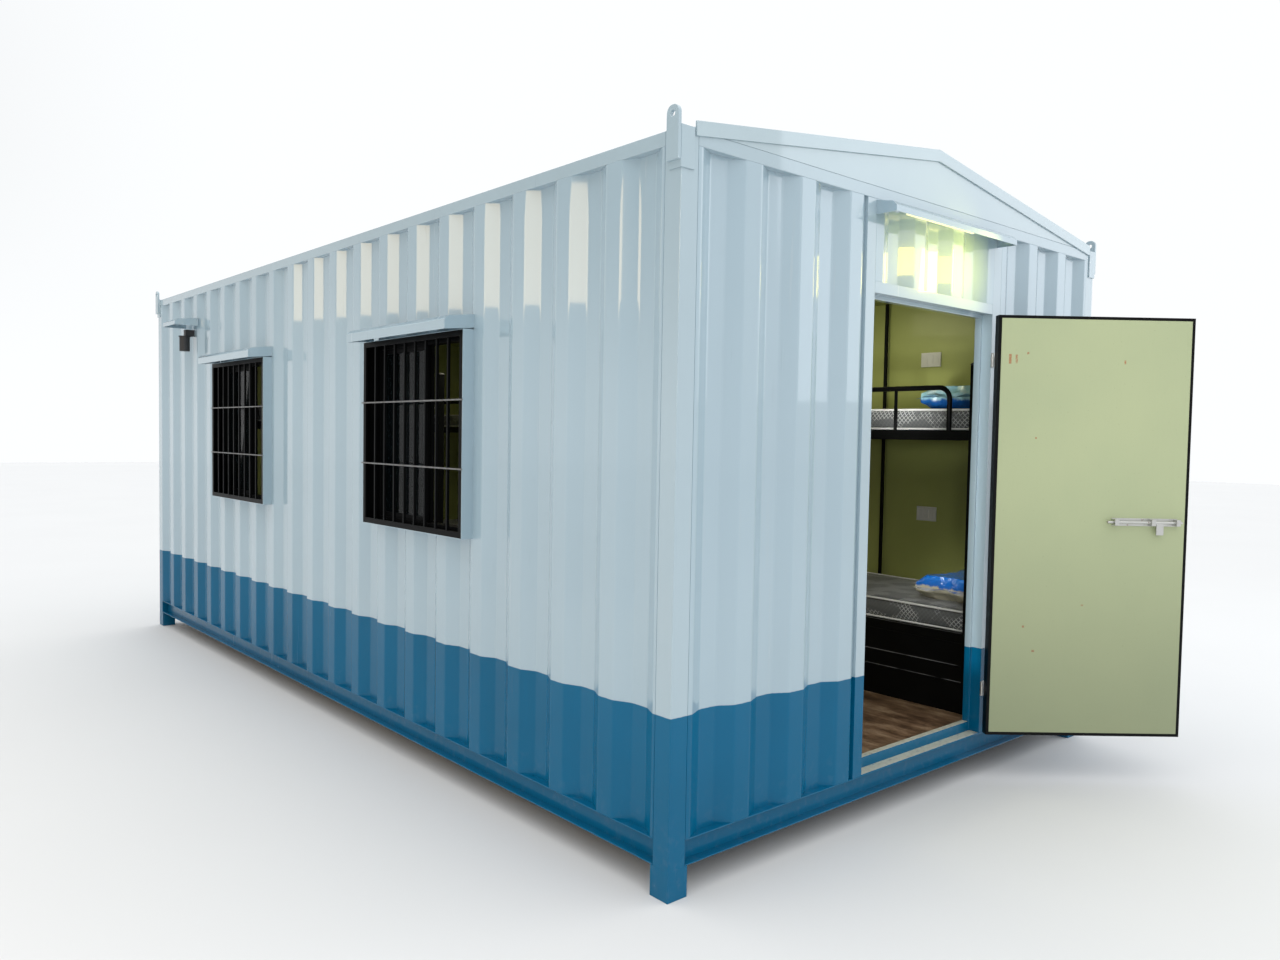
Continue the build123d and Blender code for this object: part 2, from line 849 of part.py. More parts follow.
# Both sashes of each window stand in the far half, one slid behind the other
sash_width = (frame_width + sash_bar) / 2
sash_clear = (sash_width - 2 * sash_bar, frame_height - 2 * sash_bar)
sash_depths = [
    wall_depth - window_frame_depth / 2 + side * (sash_depth + sash_gap) / 2 + sash_depth / 2
    for side in (-1, 1)
]
sash_shift = (frame_width - sash_width) / 2
with BuildPart() as window_sashes:
    for depth in sash_depths:
        for plane in window_planes(depth):
            with BuildSketch(plane) as ring:
                with Locations((-sash_shift, 0)):
                    Rectangle(sash_width, frame_height)
                    Rectangle(*sash_clear, mode=Mode.SUBTRACT)
            extrude(ring.sketch, amount=sash_depth)
window_sashes.part.label = "window_sashes"
export_step(window_sashes.part, "parts/window_sashes.step")

with BuildPart() as window_panes:
    for depth in sash_depths:
        for plane in window_planes(depth - (sash_depth - glass) / 2):
            with BuildSketch(plane) as pane:
                with Locations((-sash_shift, 0)):
                    Rectangle(*sash_clear)
            extrude(pane.sketch, amount=glass)
window_panes.part.label = "window_panes"
export_step(window_panes.part, "parts/window_panes.step")

bar_pitch = (clear_width - 2 * grille_frame) / (grille_bars + 1)
rod_pitch = clear_height / (grille_rods + 1)
with BuildPart() as window_grilles:
    for plane in window_planes(grille_depth - surround_proud):
        with BuildSketch(plane) as grid:
            Rectangle(clear_width, clear_height)
            Rectangle(clear_width - 2 * grille_frame, clear_height - 2 * grille_frame, mode=Mode.SUBTRACT)
            with GridLocations(bar_pitch, 0, grille_bars, 1):
                Rectangle(grille_bar, clear_height - grille_frame)
        extrude(grid.sketch, amount=grille_depth)
    for plane in window_planes(-surround_proud):
        with BuildSketch(plane) as rods:
            with GridLocations(0, rod_pitch, 1, grille_rods):
                Rectangle(clear_width + 2 * grille_rod_over, grille_rod)
        extrude(rods.sketch, amount=grille_rod)
window_grilles.part.label = "window_grilles"
export_step(window_grilles.part, "parts/window_grilles.step")

# Bunk beds: two along the far lining (side 1), one along the near lining (side -1)
bunks = (
    (1, wall_depth + bunk_end_gap),
    (1, length - wall_depth - bunk_end_gap - bunk_length),
    (-1, length - near_bunk_gap - bunk_length),
)
rail_inset = (bunk_post - bunk_rail) / 2
deck_width = bunk_width - 2 * rail_inset
deck_length = bunk_length - 2 * bunk_post
lower_deck_top = floor_top + lower_deck_rise
upper_deck_top = floor_top + upper_deck_rise
deck_tops = (lower_deck_top, upper_deck_top)
stay_spans = ((lower_deck_top, upper_deck_top - deck_rail_height), (upper_deck_top, ceiling_height))


def bed_x(side, low, high):
    """X span of a bunk's piece from its distances off the lining behind the bunk."""
    face = room_width / 2 - bunk_wall_gap
    return tuple(sorted((side * (face - low), side * (face - high))))


def bed_y(start, low, high):
    """Y span of a bunk's piece from its distances off the bunk's end nearest the door."""
    return (along(start + low), along(start + high))


# Corner posts, and a stay at the wall from deck to deck and on to the ceiling
with BuildPart() as bunk_posts:
    for side, start in bunks:
        middle = (sum(bed_x(side, 0, bunk_width)) / 2, sum(bed_y(start, 0, bunk_length)) / 2, floor_top)
        with BuildSketch(Plane(origin=middle)) as feet:
            with GridLocations(bunk_width - bunk_post, bunk_length - bunk_post, 2, 2):
                Rectangle(bunk_post, bunk_post)
                Rectangle(bunk_post - 2 * bunk_post_wall, bunk_post - 2 * bunk_post_wall, mode=Mode.SUBTRACT)
        extrude(feet.sketch, amount=bunk_post_height)
        for low, high in stay_spans:
            foot = (
                sum(bed_x(side, rail_inset, rail_inset + bunk_stay)) / 2,
                along(start + bunk_stay_place),
                low,
            )
            with BuildSketch(Plane(origin=foot)) as stay:
                Rectangle(bunk_stay, bunk_stay)
                Rectangle(bunk_stay - 2 * bunk_post_wall, bunk_stay - 2 * bunk_post_wall, mode=Mode.SUBTRACT)
            extrude(stay.sketch, amount=high - low)
bunk_posts.part.label = "bunk_posts"
export_step(bunk_posts.part, "parts/bunk_posts.step")

with BuildPart() as bunk_decks:
    for side, start in bunks:
        for top in deck_tops:
            block(
                bed_x(side, rail_inset, rail_inset + deck_width),
                bed_y(start, bunk_post, bunk_post + deck_length),
                (top - deck_rail_height, top),
            )
            block(
                bed_x(side, rail_inset + bunk_rail, rail_inset + deck_width - bunk_rail),
                bed_y(start, bunk_post + bunk_rail, bunk_post + deck_length - bunk_rail),
                (top - deck_rail_height, top - deck_board),
                Mode.SUBTRACT,
            )
bunk_decks.part.label = "bunk_decks"
export_step(bunk_decks.part, "parts/bunk_decks.step")

# A panel closes the space under each lower deck, with two grooves along it
base_height = lower_deck_top - deck_rail_height - floor_top
base_face = rail_inset + deck_width
with BuildPart() as bunk_base_panel:
    for side, start in bunks:
        panel_y = bed_y(start, bunk_post, bunk_post + deck_length)
        block(bed_x(side, base_face - base_panel, base_face), panel_y, (floor_top, floor_top + base_height))
        for share in base_groove_shares:
            groove = floor_top + base_height * share
            block(
                bed_x(side, base_face - base_groove, base_face),
                panel_y,
                (groove, groove + base_groove),
                Mode.SUBTRACT,
            )
bunk_base_panel.part.label = "bunk_base_panel"
export_step(bunk_base_panel.part, "parts/bunk_base_panel.step")

# Bent tube guard rail along the front of each upper deck
guard_top = upper_deck_top + guard_height
guard_depth = rail_inset + deck_width - bunk_rail / 2
with BuildPart() as bunk_guard:
    for side, start in bunks:
        guard_x = bed_x(side, guard_depth, guard_depth)[0]
        first, last = bed_y(start, guard_low, guard_high)
        with BuildLine() as route:
            FilletPolyline(
                (guard_x, first, upper_deck_top),
                (guard_x, first, guard_top),
                (guard_x, last, guard_top),
                (guard_x, last, upper_deck_top),
                radius=guard_bend,
            )
        with BuildSketch(Plane(origin=(guard_x, first, upper_deck_top))) as tube:
            RegularPolygon(guard_tube / 2, guard_sides)
        sweep(tube.sketch, path=route.wires()[0])
        for share in guard_post_shares:
            foot = (guard_x, first + (last - first) * share, upper_deck_top)
            with BuildSketch(Plane(origin=foot)) as upright:
                RegularPolygon(guard_post / 2, guard_sides)
            extrude(upright.sketch, amount=guard_height)
bunk_guard.part.label = "bunk_guard"
export_step(bunk_guard.part, "parts/bunk_guard.step")

mattress_back = rail_inset + bunk_stay + bunk_stay_gap
mattress_front = rail_inset + deck_width - bunk_rail
with BuildPart() as mattresses:
    for side, start in bunks:
        for top in deck_tops:
            block(
                bed_x(side, mattress_back, mattress_front),
                bed_y(start, bunk_post + seat_gap, bunk_post + deck_length - seat_gap),
                (top + seat_gap, top + mattress_height),
            )
    chamfer(edges().filter_by(Axis.Z), length=mattress_edge)
mattresses.part.label = "mattresses"
export_step(mattresses.part, "parts/mattresses.step")

pillow_mid = (mattress_back + mattress_front) / 2
with BuildPart() as pillows:
    for side, start in bunks:
        for top in deck_tops:
            pillow_low = top + mattress_height + seat_gap
            middle = (bed_x(side, pillow_mid, pillow_mid)[0], along(start + pillow_place))
            with BuildSketch(Plane(origin=(*middle, pillow_low + pillow_height / 2))) as outline:
                Rectangle(pillow_length, pillow_width)
                chamfer(outline.vertices(), length=pillow_corner)
            extrude(outline.sketch, amount=pillow_height / 2, both=True, taper=pillow_taper)
pillows.part.label = "pillows"
export_step(pillows.part, "parts/pillows.step")

# Socket plates on the far lining
with BuildPart() as socket_plates:
    with BuildSketch(
        Plane(origin=(room_width / 2, along(socket_place), 0), x_dir=(0, -1, 0), z_dir=(-1, 0, 0))
    ):
        with Locations((0, lower_deck_top + lower_socket_rise), (0, ceiling_height - upper_socket_drop)):
            RectangleRounded(socket_width, socket_height, socket_plate)
    extrude(amount=socket_plate)
socket_plates.part.label = "socket_plates"
export_step(socket_plates.part, "parts/socket_plates.step")

# Hinge pins with their frame leaves on the hinge jamb
hinge_heights = (leaf_low + hinge_inset, leaf_high - hinge_inset)
hinge_x = across(doorway_high)
hinge_y = along(-barrel_offset)
barrel_height = hinge_height * hinge_barrel_share
collar_height = (hinge_height - barrel_height) / 2 - hinge_clearance
with BuildPart() as hinge_pins:
    for middle in hinge_heights:
        low = middle - hinge_height / 2
        with Locations((hinge_x, hinge_y, low)):
            Cylinder(hinge_pin / 2, hinge_height, align=(Align.CENTER, Align.CENTER, Align.MIN))
            Cylinder(hinge_barrel / 2, collar_height, align=(Align.CENTER, Align.CENTER, Align.MIN))
        with Locations((hinge_x, hinge_y, low + hinge_height)):
            Cylinder(hinge_barrel / 2, collar_height, align=(Align.CENTER, Align.CENTER, Align.MAX))
        for start in (low, low + hinge_height - collar_height):
            block(
                (hinge_x, hinge_x + hinge_leaf_width),
                (along(-hinge_leaf), along(0)),
                (start, start + collar_height),
            )
        block(
            (hinge_x + hinge_barrel / 2 + hinge_leaf, hinge_x + hinge_leaf_width),
            (along(-hinge_leaf), along(0)),
            (low, low + hinge_height),
        )
hinge_pins.part.label = "hinge_pins"
export_step(hinge_pins.part, "parts/hinge_pins.step")

# Keeper for the sliding bolt on the latch jamb's stop
bolt_height = leaf_low + bolt_rise
bolt_line = barrel_offset + leaf_thickness + bolt_standoff
keeper_y = along(bolt_line - barrel_offset)
keeper_low = doorway_low + stop_width
with BuildPart() as bolt_keeper:
    with BuildSketch(
        Plane(origin=(across(keeper_low), keeper_y, bolt_height), x_dir=(0, 1, 0), z_dir=(1, 0, 0))
    ):
        Rectangle(2 * (wall_depth - leaf_thickness - bolt_standoff), keeper_height)
        Circle(keeper_bore / 2, mode=Mode.SUBTRACT)
    extrude(amount=keeper_length)
bolt_keeper.part.label = "bolt_keeper"
export_step(bolt_keeper.part, "parts/bolt_keeper.step")

# Door leaf, modelled from the hinge axis: X to the free edge, Y out of the cabin when shut
leaf_heading = (math.cos(leaf_turn), math.sin(leaf_turn), 0)


def door_plane(height):
    """Horizontal plane through the door at a height, turned with the open leaf."""
    return Plane(origin=(hinge_x, hinge_y, height), x_dir=leaf_heading, z_dir=(0, 0, 1))


def door_block(x_span, y_span, z_span, mode=Mode.ADD):
    """Adds a box to the door piece in hand, from (low, high) pairs in the leaf's frame."""
    with BuildSketch(door_plane(z_span[0])) as plan:
        with Locations((sum(x_span) / 2, sum(y_span) / 2)):
            Rectangle(x_span[1] - x_span[0], y_span[1] - y_span[0])
    extrude(plan.sketch, amount=z_span[1] - z_span[0], mode=mode)


leaf_x = (leaf_gap, leaf_gap + leaf_width)
leaf_outer = -barrel_offset
leaf_inner = leaf_outer - leaf_thickness
core_x = (leaf_x[0] + edge_bar, leaf_x[1] - edge_bar)
core_z = (leaf_low + edge_bar, leaf_high - edge_bar)
with BuildPart() as door_edge_frame:
    door_block(leaf_x, (leaf_inner, leaf_outer - sheet), (leaf_low, leaf_high))
    door_block(core_x, (leaf_inner, leaf_outer - sheet), core_z, Mode.SUBTRACT)
door_edge_frame.part.label = "door_edge_frame"
export_step(door_edge_frame.part, "parts/door_edge_frame.step")

with BuildPart() as door_leaf:
    door_block(leaf_x, (leaf_outer - sheet, leaf_outer), (leaf_low, leaf_high))
    door_block(core_x, (leaf_inner + inner_panel, leaf_outer - sheet), core_z)
door_leaf.part.label = "door_leaf"
export_step(door_leaf.part, "parts/door_leaf.step")

with BuildPart() as door_inner_panel:
    door_block(core_x, (leaf_inner, leaf_inner + inner_panel), core_z)
door_inner_panel.part.label = "door_inner_panel"
export_step(door_inner_panel.part, "parts/door_inner_panel.step")

with BuildPart() as door_hinge_straps:
    for middle in hinge_heights:
        strap_z = (middle - barrel_height / 2, middle + barrel_height / 2)
        with BuildSketch(door_plane(strap_z[0])) as barrel:
            Circle(hinge_barrel / 2)
            with Locations((hinge_leaf_width / 2, leaf_outer + hinge_leaf / 2)):
                Rectangle(hinge_leaf_width, hinge_leaf)
            Circle(hinge_pin / 2 + hinge_clearance, mode=Mode.SUBTRACT)
        extrude(barrel.sketch, amount=barrel_height)
door_hinge_straps.part.label = "door_hinge_straps"
export_step(door_hinge_straps.part, "parts/door_hinge_straps.step")

# Sliding bolt: plate and staples on the leaf, and the rod that slides through them
bolt_tip = leaf_x[1] - bolt_tip_inset
bolt_tail = bolt_tip - bolt_length
bolt_y = -bolt_line
bolt_axis = Plane(
    origin=door_plane(bolt_height).from_local_coords((0, bolt_y, 0)),
    x_dir=(-leaf_heading[1], leaf_heading[0], 0),
    z_dir=leaf_heading,
)
staple_places = [bolt_tip - bolt_staple - bolt_length * share for share in bolt_staple_shares]
staple_size = bolt_diameter + 2 * bolt_staple_rim
with BuildPart() as bolt_brackets:
    door_block(
        (staple_places[-1], staple_places[0] + bolt_staple),
        (leaf_inner - bolt_plate, leaf_inner),
        (bolt_height - bolt_plate_height / 2, bolt_height + bolt_plate_height / 2),
    )
    for place in staple_places:
        door_block(
            (place, place + bolt_staple),
            (bolt_y - staple_size / 2, leaf_inner - bolt_plate),
            (bolt_height - staple_size / 2, bolt_height + staple_size / 2),
        )
    with BuildSketch(bolt_axis) as bore:
        Circle(bolt_diameter / 2 + bolt_clearance)
    extrude(bore.sketch, amount=bolt_tip + overrun, mode=Mode.SUBTRACT)
bolt_brackets.part.label = "bolt_brackets"
export_step(bolt_brackets.part, "parts/bolt_brackets.step")

tab_place = bolt_tip - bolt_length * bolt_tab_share
with BuildPart() as bolt_rod:
    with BuildSketch(bolt_axis.offset(bolt_tail)) as round_bar:
        Circle(bolt_diameter / 2)
    extrude(round_bar.sketch, amount=bolt_length)
    door_block(
        (tab_place - bolt_tab_width, tab_place),
        (bolt_y - bolt_tab_plate / 2, bolt_y + bolt_tab_plate / 2),
        (bolt_height - bolt_tab_drop, bolt_height),
    )
bolt_rod.part.label = "bolt_rod"
export_step(bolt_rod.part, "parts/bolt_rod.step")
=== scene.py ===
"""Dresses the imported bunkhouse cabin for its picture: paint, glass, bedding, fittings, light and camera."""

from __future__ import annotations

import json
import logging
import math
from dataclasses import dataclass
from enum import Enum
from typing import Sequence

import bmesh
import bpy
import numpy as np
from mathutils import Matrix, Vector

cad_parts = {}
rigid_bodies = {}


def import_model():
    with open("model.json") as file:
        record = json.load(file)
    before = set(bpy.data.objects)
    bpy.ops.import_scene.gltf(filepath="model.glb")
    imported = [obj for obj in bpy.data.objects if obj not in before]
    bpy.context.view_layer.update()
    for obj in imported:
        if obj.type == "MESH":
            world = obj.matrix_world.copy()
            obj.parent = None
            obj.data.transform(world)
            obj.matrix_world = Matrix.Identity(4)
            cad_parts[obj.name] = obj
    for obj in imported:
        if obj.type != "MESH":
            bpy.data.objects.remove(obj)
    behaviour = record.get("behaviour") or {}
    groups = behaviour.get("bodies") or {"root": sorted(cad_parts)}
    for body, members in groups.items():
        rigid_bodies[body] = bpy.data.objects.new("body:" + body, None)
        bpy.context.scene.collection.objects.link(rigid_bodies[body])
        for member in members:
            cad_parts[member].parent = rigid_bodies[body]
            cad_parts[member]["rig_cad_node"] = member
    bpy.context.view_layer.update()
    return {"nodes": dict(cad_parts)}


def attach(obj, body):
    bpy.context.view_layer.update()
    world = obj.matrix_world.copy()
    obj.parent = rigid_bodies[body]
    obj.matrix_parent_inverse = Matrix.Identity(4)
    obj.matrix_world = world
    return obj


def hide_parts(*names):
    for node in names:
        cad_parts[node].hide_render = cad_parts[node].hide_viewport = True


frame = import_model()
LOG = logging.getLogger("cabin")

Colour = tuple[float, float, float]
Point = tuple[float, float, float]
CABIN, DOOR, DOOR_BOLT = "cabin", "door", "door_bolt"
FACING = 0.9
MERGE = 1e-5


def toned(colour: Colour, share: float) -> Colour:
    """A colour made darker or lighter."""
    return tuple(part * share for part in colour)


class Field:
    """A shader value that Python's operators work on, each adding one Math node."""

    def __init__(self, graph: Graph, socket: bpy.types.NodeSocket) -> None:
        """Keeps the socket and the graph that its nodes go in."""
        self.graph = graph
        self.socket = socket

    def _math(self, operation: str, *values: Field | float) -> Field:
        """Adds one Math node with its inputs in order and returns its result."""
        return self.graph.field("ShaderNodeMath", {"operation": operation}, dict(enumerate(values)))

    def __add__(self, other: Field | float) -> Field:
        """Sum."""
        return self._math("ADD", self, other)

    def __radd__(self, other: float) -> Field:
        """Sum with a number first."""
        return self._math("ADD", other, self)

    def __sub__(self, other: Field | float) -> Field:
        """Difference."""
        return self._math("SUBTRACT", self, other)

    def __rsub__(self, other: float) -> Field:
        """Difference from a number."""
        return self._math("SUBTRACT", other, self)

    def __mul__(self, other: Field | float) -> Field:
        """Product."""
        return self._math("MULTIPLY", self, other)

    def __rmul__(self, other: float) -> Field:
        """Product with a number first."""
        return self._math("MULTIPLY", other, self)

    def __abs__(self) -> Field:
        """Size without its sign."""
        return self._math("ABSOLUTE", self)

    def lower(self, other: Field | float) -> Field:
        """The lower of two values."""
        return self._math("MINIMUM", self, other)

    def wave(self, length: float) -> Field:
        """Sine of the value, with a period in metres."""
        return self._math("SINE", self * (math.tau / length))

    def step(self, low: float, high: float, start: float = 0.0, end: float = 1.0) -> Field:
        """Smooth change from one value to another.

        Args:
            low: where the change starts.
            high: where it ends.
            start: the result before the change.
            end: the result after it.

        Returns:
            The changed value.
        """
        sockets = {"Value": self, "From Min": low, "From Max": high, "To Min": start, "To Max": end}
        return self.graph.field("ShaderNodeMapRange", {"interpolation_type": "SMOOTHSTEP"}, sockets)

    def near(self, middle: float, reach: float, blur: float) -> Field:
        """A mask that is 1 within reach of a value and fades to 0 over blur."""
        return abs(self - middle).step(reach, reach + blur, 1.0, 0.0)


Inputs = dict[str, Field | float | Colour]


class Graph:
    """A node tree, of a material or of the studio's surround."""

    def __init__(self, tree: bpy.types.NodeTree) -> None:
        """Keeps the tree."""
        self.tree = tree

    def node(self, kind: str, settings: dict, sockets: dict) -> bpy.types.Node:
        """Makes one node.

        Args:
            kind: the node's type.
            settings: its properties, with a ramp's stops as pairs of place and colour.
            sockets: values or fields for its inputs, by name or index.

        Returns:
            The node.
        """
        made = self.tree.nodes.new(kind)
        for name, value in settings.items():
            if name == "stops":
                ramp = made.color_ramp.elements
                while len(ramp) < len(value):
                    ramp.new(1.0)
                for stop, (place, colour) in zip(ramp, value):
                    stop.position = place
                    stop.color = (*colour, 1.0)
            else:
                setattr(made, name, value)
        for name, value in sockets.items():
            if isinstance(value, Field):
                self.tree.links.new(value.socket, made.inputs[name])
            else:
                made.inputs[name].default_value = value
        return made

    def field(self, kind: str, settings: dict, sockets: dict, output: int | str = 0) -> Field:
        """Makes one node and wraps one of its outputs."""
        return Field(self, self.node(kind, settings, sockets).outputs[output])

    def place(self, coordinates: str = "Object") -> Field:
        """The point on the piece, in Object coordinates unless others are named."""
        return self.field("ShaderNodeTexCoord", {}, {}, coordinates)

    def axes(self, vector: Field) -> tuple[Field, ...]:
        """The three parts of a vector."""
        return tuple(Field(self, part) for part in self.node("ShaderNodeSeparateXYZ", {}, {0: vector}).outputs)


class Shader(Graph):
    """A material's node tree with one Principled shader."""

    def __init__(self, name: str) -> None:
        """Starts an empty material under a name."""
        self.material = bpy.data.materials.new(name)
        self.material.use_nodes = True
        super().__init__(self.material.node_tree)
        self.tree.nodes.clear()
        self.skin = self.node("ShaderNodeBsdfPrincipled", {}, {})
        output = self.node("ShaderNodeOutputMaterial", {}, {})
        self.tree.links.new(self.skin.outputs[0], output.inputs["Surface"])

    def turned(self, vector: Field, centre: Point, angle: float) -> Field:
        """A vector measured from a centre, along axes turned about Z.

        Args:
            vector: the point.
            centre: the new origin.
            angle: the heading of the new X axis, in radians.

        Returns:
            The point in the turned axes.
        """
        moved = self.field("ShaderNodeMapping", {}, {"Vector": vector, "Location": tuple(-c for c in centre)})
        return self.field("ShaderNodeMapping", {}, {"Vector": moved, "Rotation": (0.0, 0.0, -angle)})

    def stretched(self, vector: Field, scale: Point) -> Field:
        """A vector with each axis scaled."""
        return self.field("ShaderNodeMapping", {}, {"Vector": vector, "Scale": scale})

    def noise(self, vector: Field, scale: float, detail: float = 2.0, rough: float = 0.5) -> Field:
        """Smooth noise from 0 to 1 with so many cells in a metre."""
        sockets = {"Vector": vector, "Scale": scale, "Detail": detail, "Roughness": rough}
        return self.field("ShaderNodeTexNoise", {}, sockets, "Fac")

    def mix(self, share: Field, first: Field | Colour, second: Field | Colour) -> Field:
        """Lays a share of the second colour over the first."""
        below, above = (c if isinstance(c, Field) else (*c, 1.0) for c in (first, second))
        return self.field("ShaderNodeMix", {"data_type": "RGBA"}, {0: share, 6: below, 7: above}, 2)

    def bump(self, height: Field, distance: float, strength: float = 1.0, under: Field | None = None) -> Field:
        """A surface normal from a height in shares of a distance, over another normal if one is given."""
        sockets = {"Height": height, "Distance": distance, "Strength": strength}
        if under is not None:
            sockets["Normal"] = under
        return self.field("ShaderNodeBump", {}, sockets)

    def dress(self, **sockets: Field | float | Colour) -> bpy.types.Material:
        """Sets the Principled shader's sockets, named with underscores for spaces.

        Args:
            sockets: a number, colour or field for each socket.

        Returns:
            The finished material.
        """
        for name, value in sockets.items():
            socket = self.skin.inputs[name.replace("_", " ")]
            if isinstance(value, Field):
                self.tree.links.new(value.socket, socket)
            elif isinstance(value, tuple):
                socket.default_value = (*value, 1.0)
            else:
                socket.default_value = value
        return self.material


@dataclass(frozen=True)
class Coating:
    """A finish with a material of its own."""

    name: str

    def make(self) -> bpy.types.Material:
        """Builds the material and returns it."""
        shader = Shader(self.name)
        return shader.dress(**self.sockets(shader, shader.place()))

    def sockets(self, shader: Shader, place: Field) -> Inputs:
        """Works out what goes in the Principled shader's sockets.

        Args:
            shader: the material's shader.
            place: the point on the piece.

        Returns:
            A number, colour or field for each socket.
        """
        raise NotImplementedError


@dataclass(frozen=True)
class BandedPaint(Coating):
    """Gloss enamel on steel: off-white, with a blue band at the foot of the cabin."""

    dents: float
    white: Colour = (0.345, 0.462, 0.532)
    blue: Colour = (0.0, 0.118, 0.240)
    band_line: float = 0.609
    band_fall: tuple[float, float] = (0.012, 0.0045)
    band_wander: float = 0.004
    dust: Colour = (0.50, 0.46, 0.38)
    peel: float = 0.00006
    wave: float = 0.005
    run: float = 0.0012

    def sockets(self, shader: Shader, place: Field) -> Inputs:
        """Mixes the finish."""
        across, along, height = shader.axes(place)
        cloud = shader.noise(place, 1.1, 3.0)
        fleck = shader.noise(place, 26.0, 3.0)
        streak = shader.noise(shader.stretched(place, (9.0, 9.0, 0.55)), 2.2, 3.0, 0.6)
        edge = height + across * self.band_fall[0] + along * self.band_fall[1] + (fleck - 0.5) * self.band_wander
        band = edge.step(self.band_line - 0.0012, self.band_line + 0.0012, 1.0, 0.0)
        white = shader.mix(cloud.step(0.35, 0.75), self.white, toned(self.white, 0.955))
        white = shader.mix(streak.step(0.62, 0.86) * 0.12, white, self.dust)
        blue = shader.mix(cloud.step(0.35, 0.75), self.blue, toned(self.blue, 0.84))
        blue = shader.mix(streak.step(0.58, 0.9) * 0.25, blue, toned(self.blue, 1.5))
        splash = height.step(0.10, 0.42, 1.0, 0.0) * fleck.step(0.5, 0.78)
        blue = shader.mix(splash * 0.04, blue, self.dust)
        colour = shader.mix(band, white, blue)
        rough = 0.16 + cloud * 0.1 + streak.step(0.55, 0.9) * 0.14 + splash * 0.05
        waves = shader.noise(shader.stretched(place, (1.0, 1.0, 0.7)), 2.6, 2.0)
        normal = shader.bump(waves, self.wave * self.dents)
        runs = shader.noise(shader.stretched(place, (30.0, 30.0, 2.6)), 1.7, 2.0).step(0.66, 0.80)
        normal = shader.bump(runs * cloud.step(0.45, 0.6), self.run, 1.0, normal)
        normal = shader.bump(shader.noise(place, 420.0, 1.0), self.peel, 0.6, normal)
        return dict(
            Base_Color=colour,
            Roughness=rough,
            Normal=normal,
            Specular_IOR_Level=0.18,
            Coat_Weight=0.8 - band * 0.74,
            Coat_Roughness=0.04,
            Coat_IOR=2.1,
        )


@dataclass(frozen=True)
class Laminate(Coating):
    """Cream board with a faint grain, for the room's lining and the inside of the door."""

    cream: Colour
    shade: Colour
    marks: tuple[tuple[float, float, float, float], ...] = ()
    hinge: Point = (0.0, 0.0, 0.0)
    heading: float = 0.0
    mark_colour: Colour = (0.42, 0.14, 0.05)
    foot_shade: float = 0.0

    def sockets(self, shader: Shader, place: Field) -> Inputs:
        """Mixes the finish."""
        leaf = shader.turned(place, self.hinge, self.heading)
        along, _, up = shader.axes(leaf)
        cloud = shader.noise(place, 1.6, 3.0)
        grain = shader.noise(shader.stretched(place, (40.0, 40.0, 3.0)), 3.0, 4.0, 0.6)
        speck = shader.noise(place, 130.0, 2.0)
        colour = shader.mix(cloud.step(0.3, 0.75), self.cream, self.shade)
        colour = shader.mix(grain * 0.10, colour, toned(self.shade, 0.8))
        colour = shader.mix(speck.step(0.7, 0.76) * 0.35, colour, toned(self.shade, 0.55))
        for mid_along, mid_up, half_wide, half_high in self.marks:
            mark = along.near(mid_along, half_wide, 0.002) * up.near(mid_up, half_high, 0.002)
            colour = shader.mix(mark * speck.step(0.25, 0.5) * 0.85, colour, self.mark_colour)
        # Painted shade: the board darkens towards its foot by foot_shade.
        painted_foot_shade = up.step(0.2, 1.55, self.foot_shade, 0.0)
        colour = shader.mix(painted_foot_shade, colour, toned(self.shade, 0.3))
        rough = 0.34 + cloud * 0.12 + grain * 0.06
        normal = shader.bump(grain, 0.00012)
        return dict(Base_Color=colour, Roughness=rough, Normal=normal, Coat_Weight=0.1)


@dataclass(frozen=True)
class PlankVinyl(Coating):
    """Brown vinyl sheet printed with wood planks."""

    plank: float = 0.15
    board: float = 0.9
    tones: tuple[Colour, Colour, Colour] = ((0.07, 0.038, 0.02), (0.18, 0.107, 0.06), (0.36, 0.245, 0.155))

    def sockets(self, shader: Shader, place: Field) -> Inputs:
        """Mixes the finish."""
        planks = shader.node(
            "ShaderNodeTexBrick",
            {"offset": 0.37, "squash": 1.0},
            {
                "Vector": shader.field("ShaderNodeMapping", {}, {"Vector": place, "Rotation": (0, 0, math.pi / 2)}),
                "Color1": (0.0, 0.0, 0.0, 1.0),
                "Color2": (1.0, 1.0, 1.0, 1.0),
                "Mortar": (0.5, 0.5, 0.5, 1.0),
                "Scale": 1.0,
                "Mortar Size": 0.0016,
                "Brick Width": self.board,
                "Row Height": self.plank,
            },
        )
        tone = Field(shader, planks.outputs["Color"])
        joint = Field(shader, planks.outputs["Fac"])
        grain = shader.noise(shader.stretched(place, (34.0, 2.2, 1.0)), 2.0, 6.0, 0.65)
        figure = shader.noise(shader.stretched(place, (2.6, 1.0, 1.0)), 5.5, 4.0, 0.68)
        share = (figure - 0.5) * 1.5 + (grain - 0.5) * 0.5 + tone * 0.16 + 0.42
        stops = [(0.25, self.tones[0]), (0.5, self.tones[1]), (0.8, self.tones[2])]
        wood = shader.field("ShaderNodeValToRGB", {"stops": stops}, {"Fac": share})
        wood = shader.mix(joint * 0.7, wood, (0.05, 0.03, 0.018))
        normal = shader.bump(grain - joint, 0.0003)
        return dict(Base_Color=wood, Roughness=0.3 + grain * 0.25, Normal=normal, Coat_Weight=0.15)


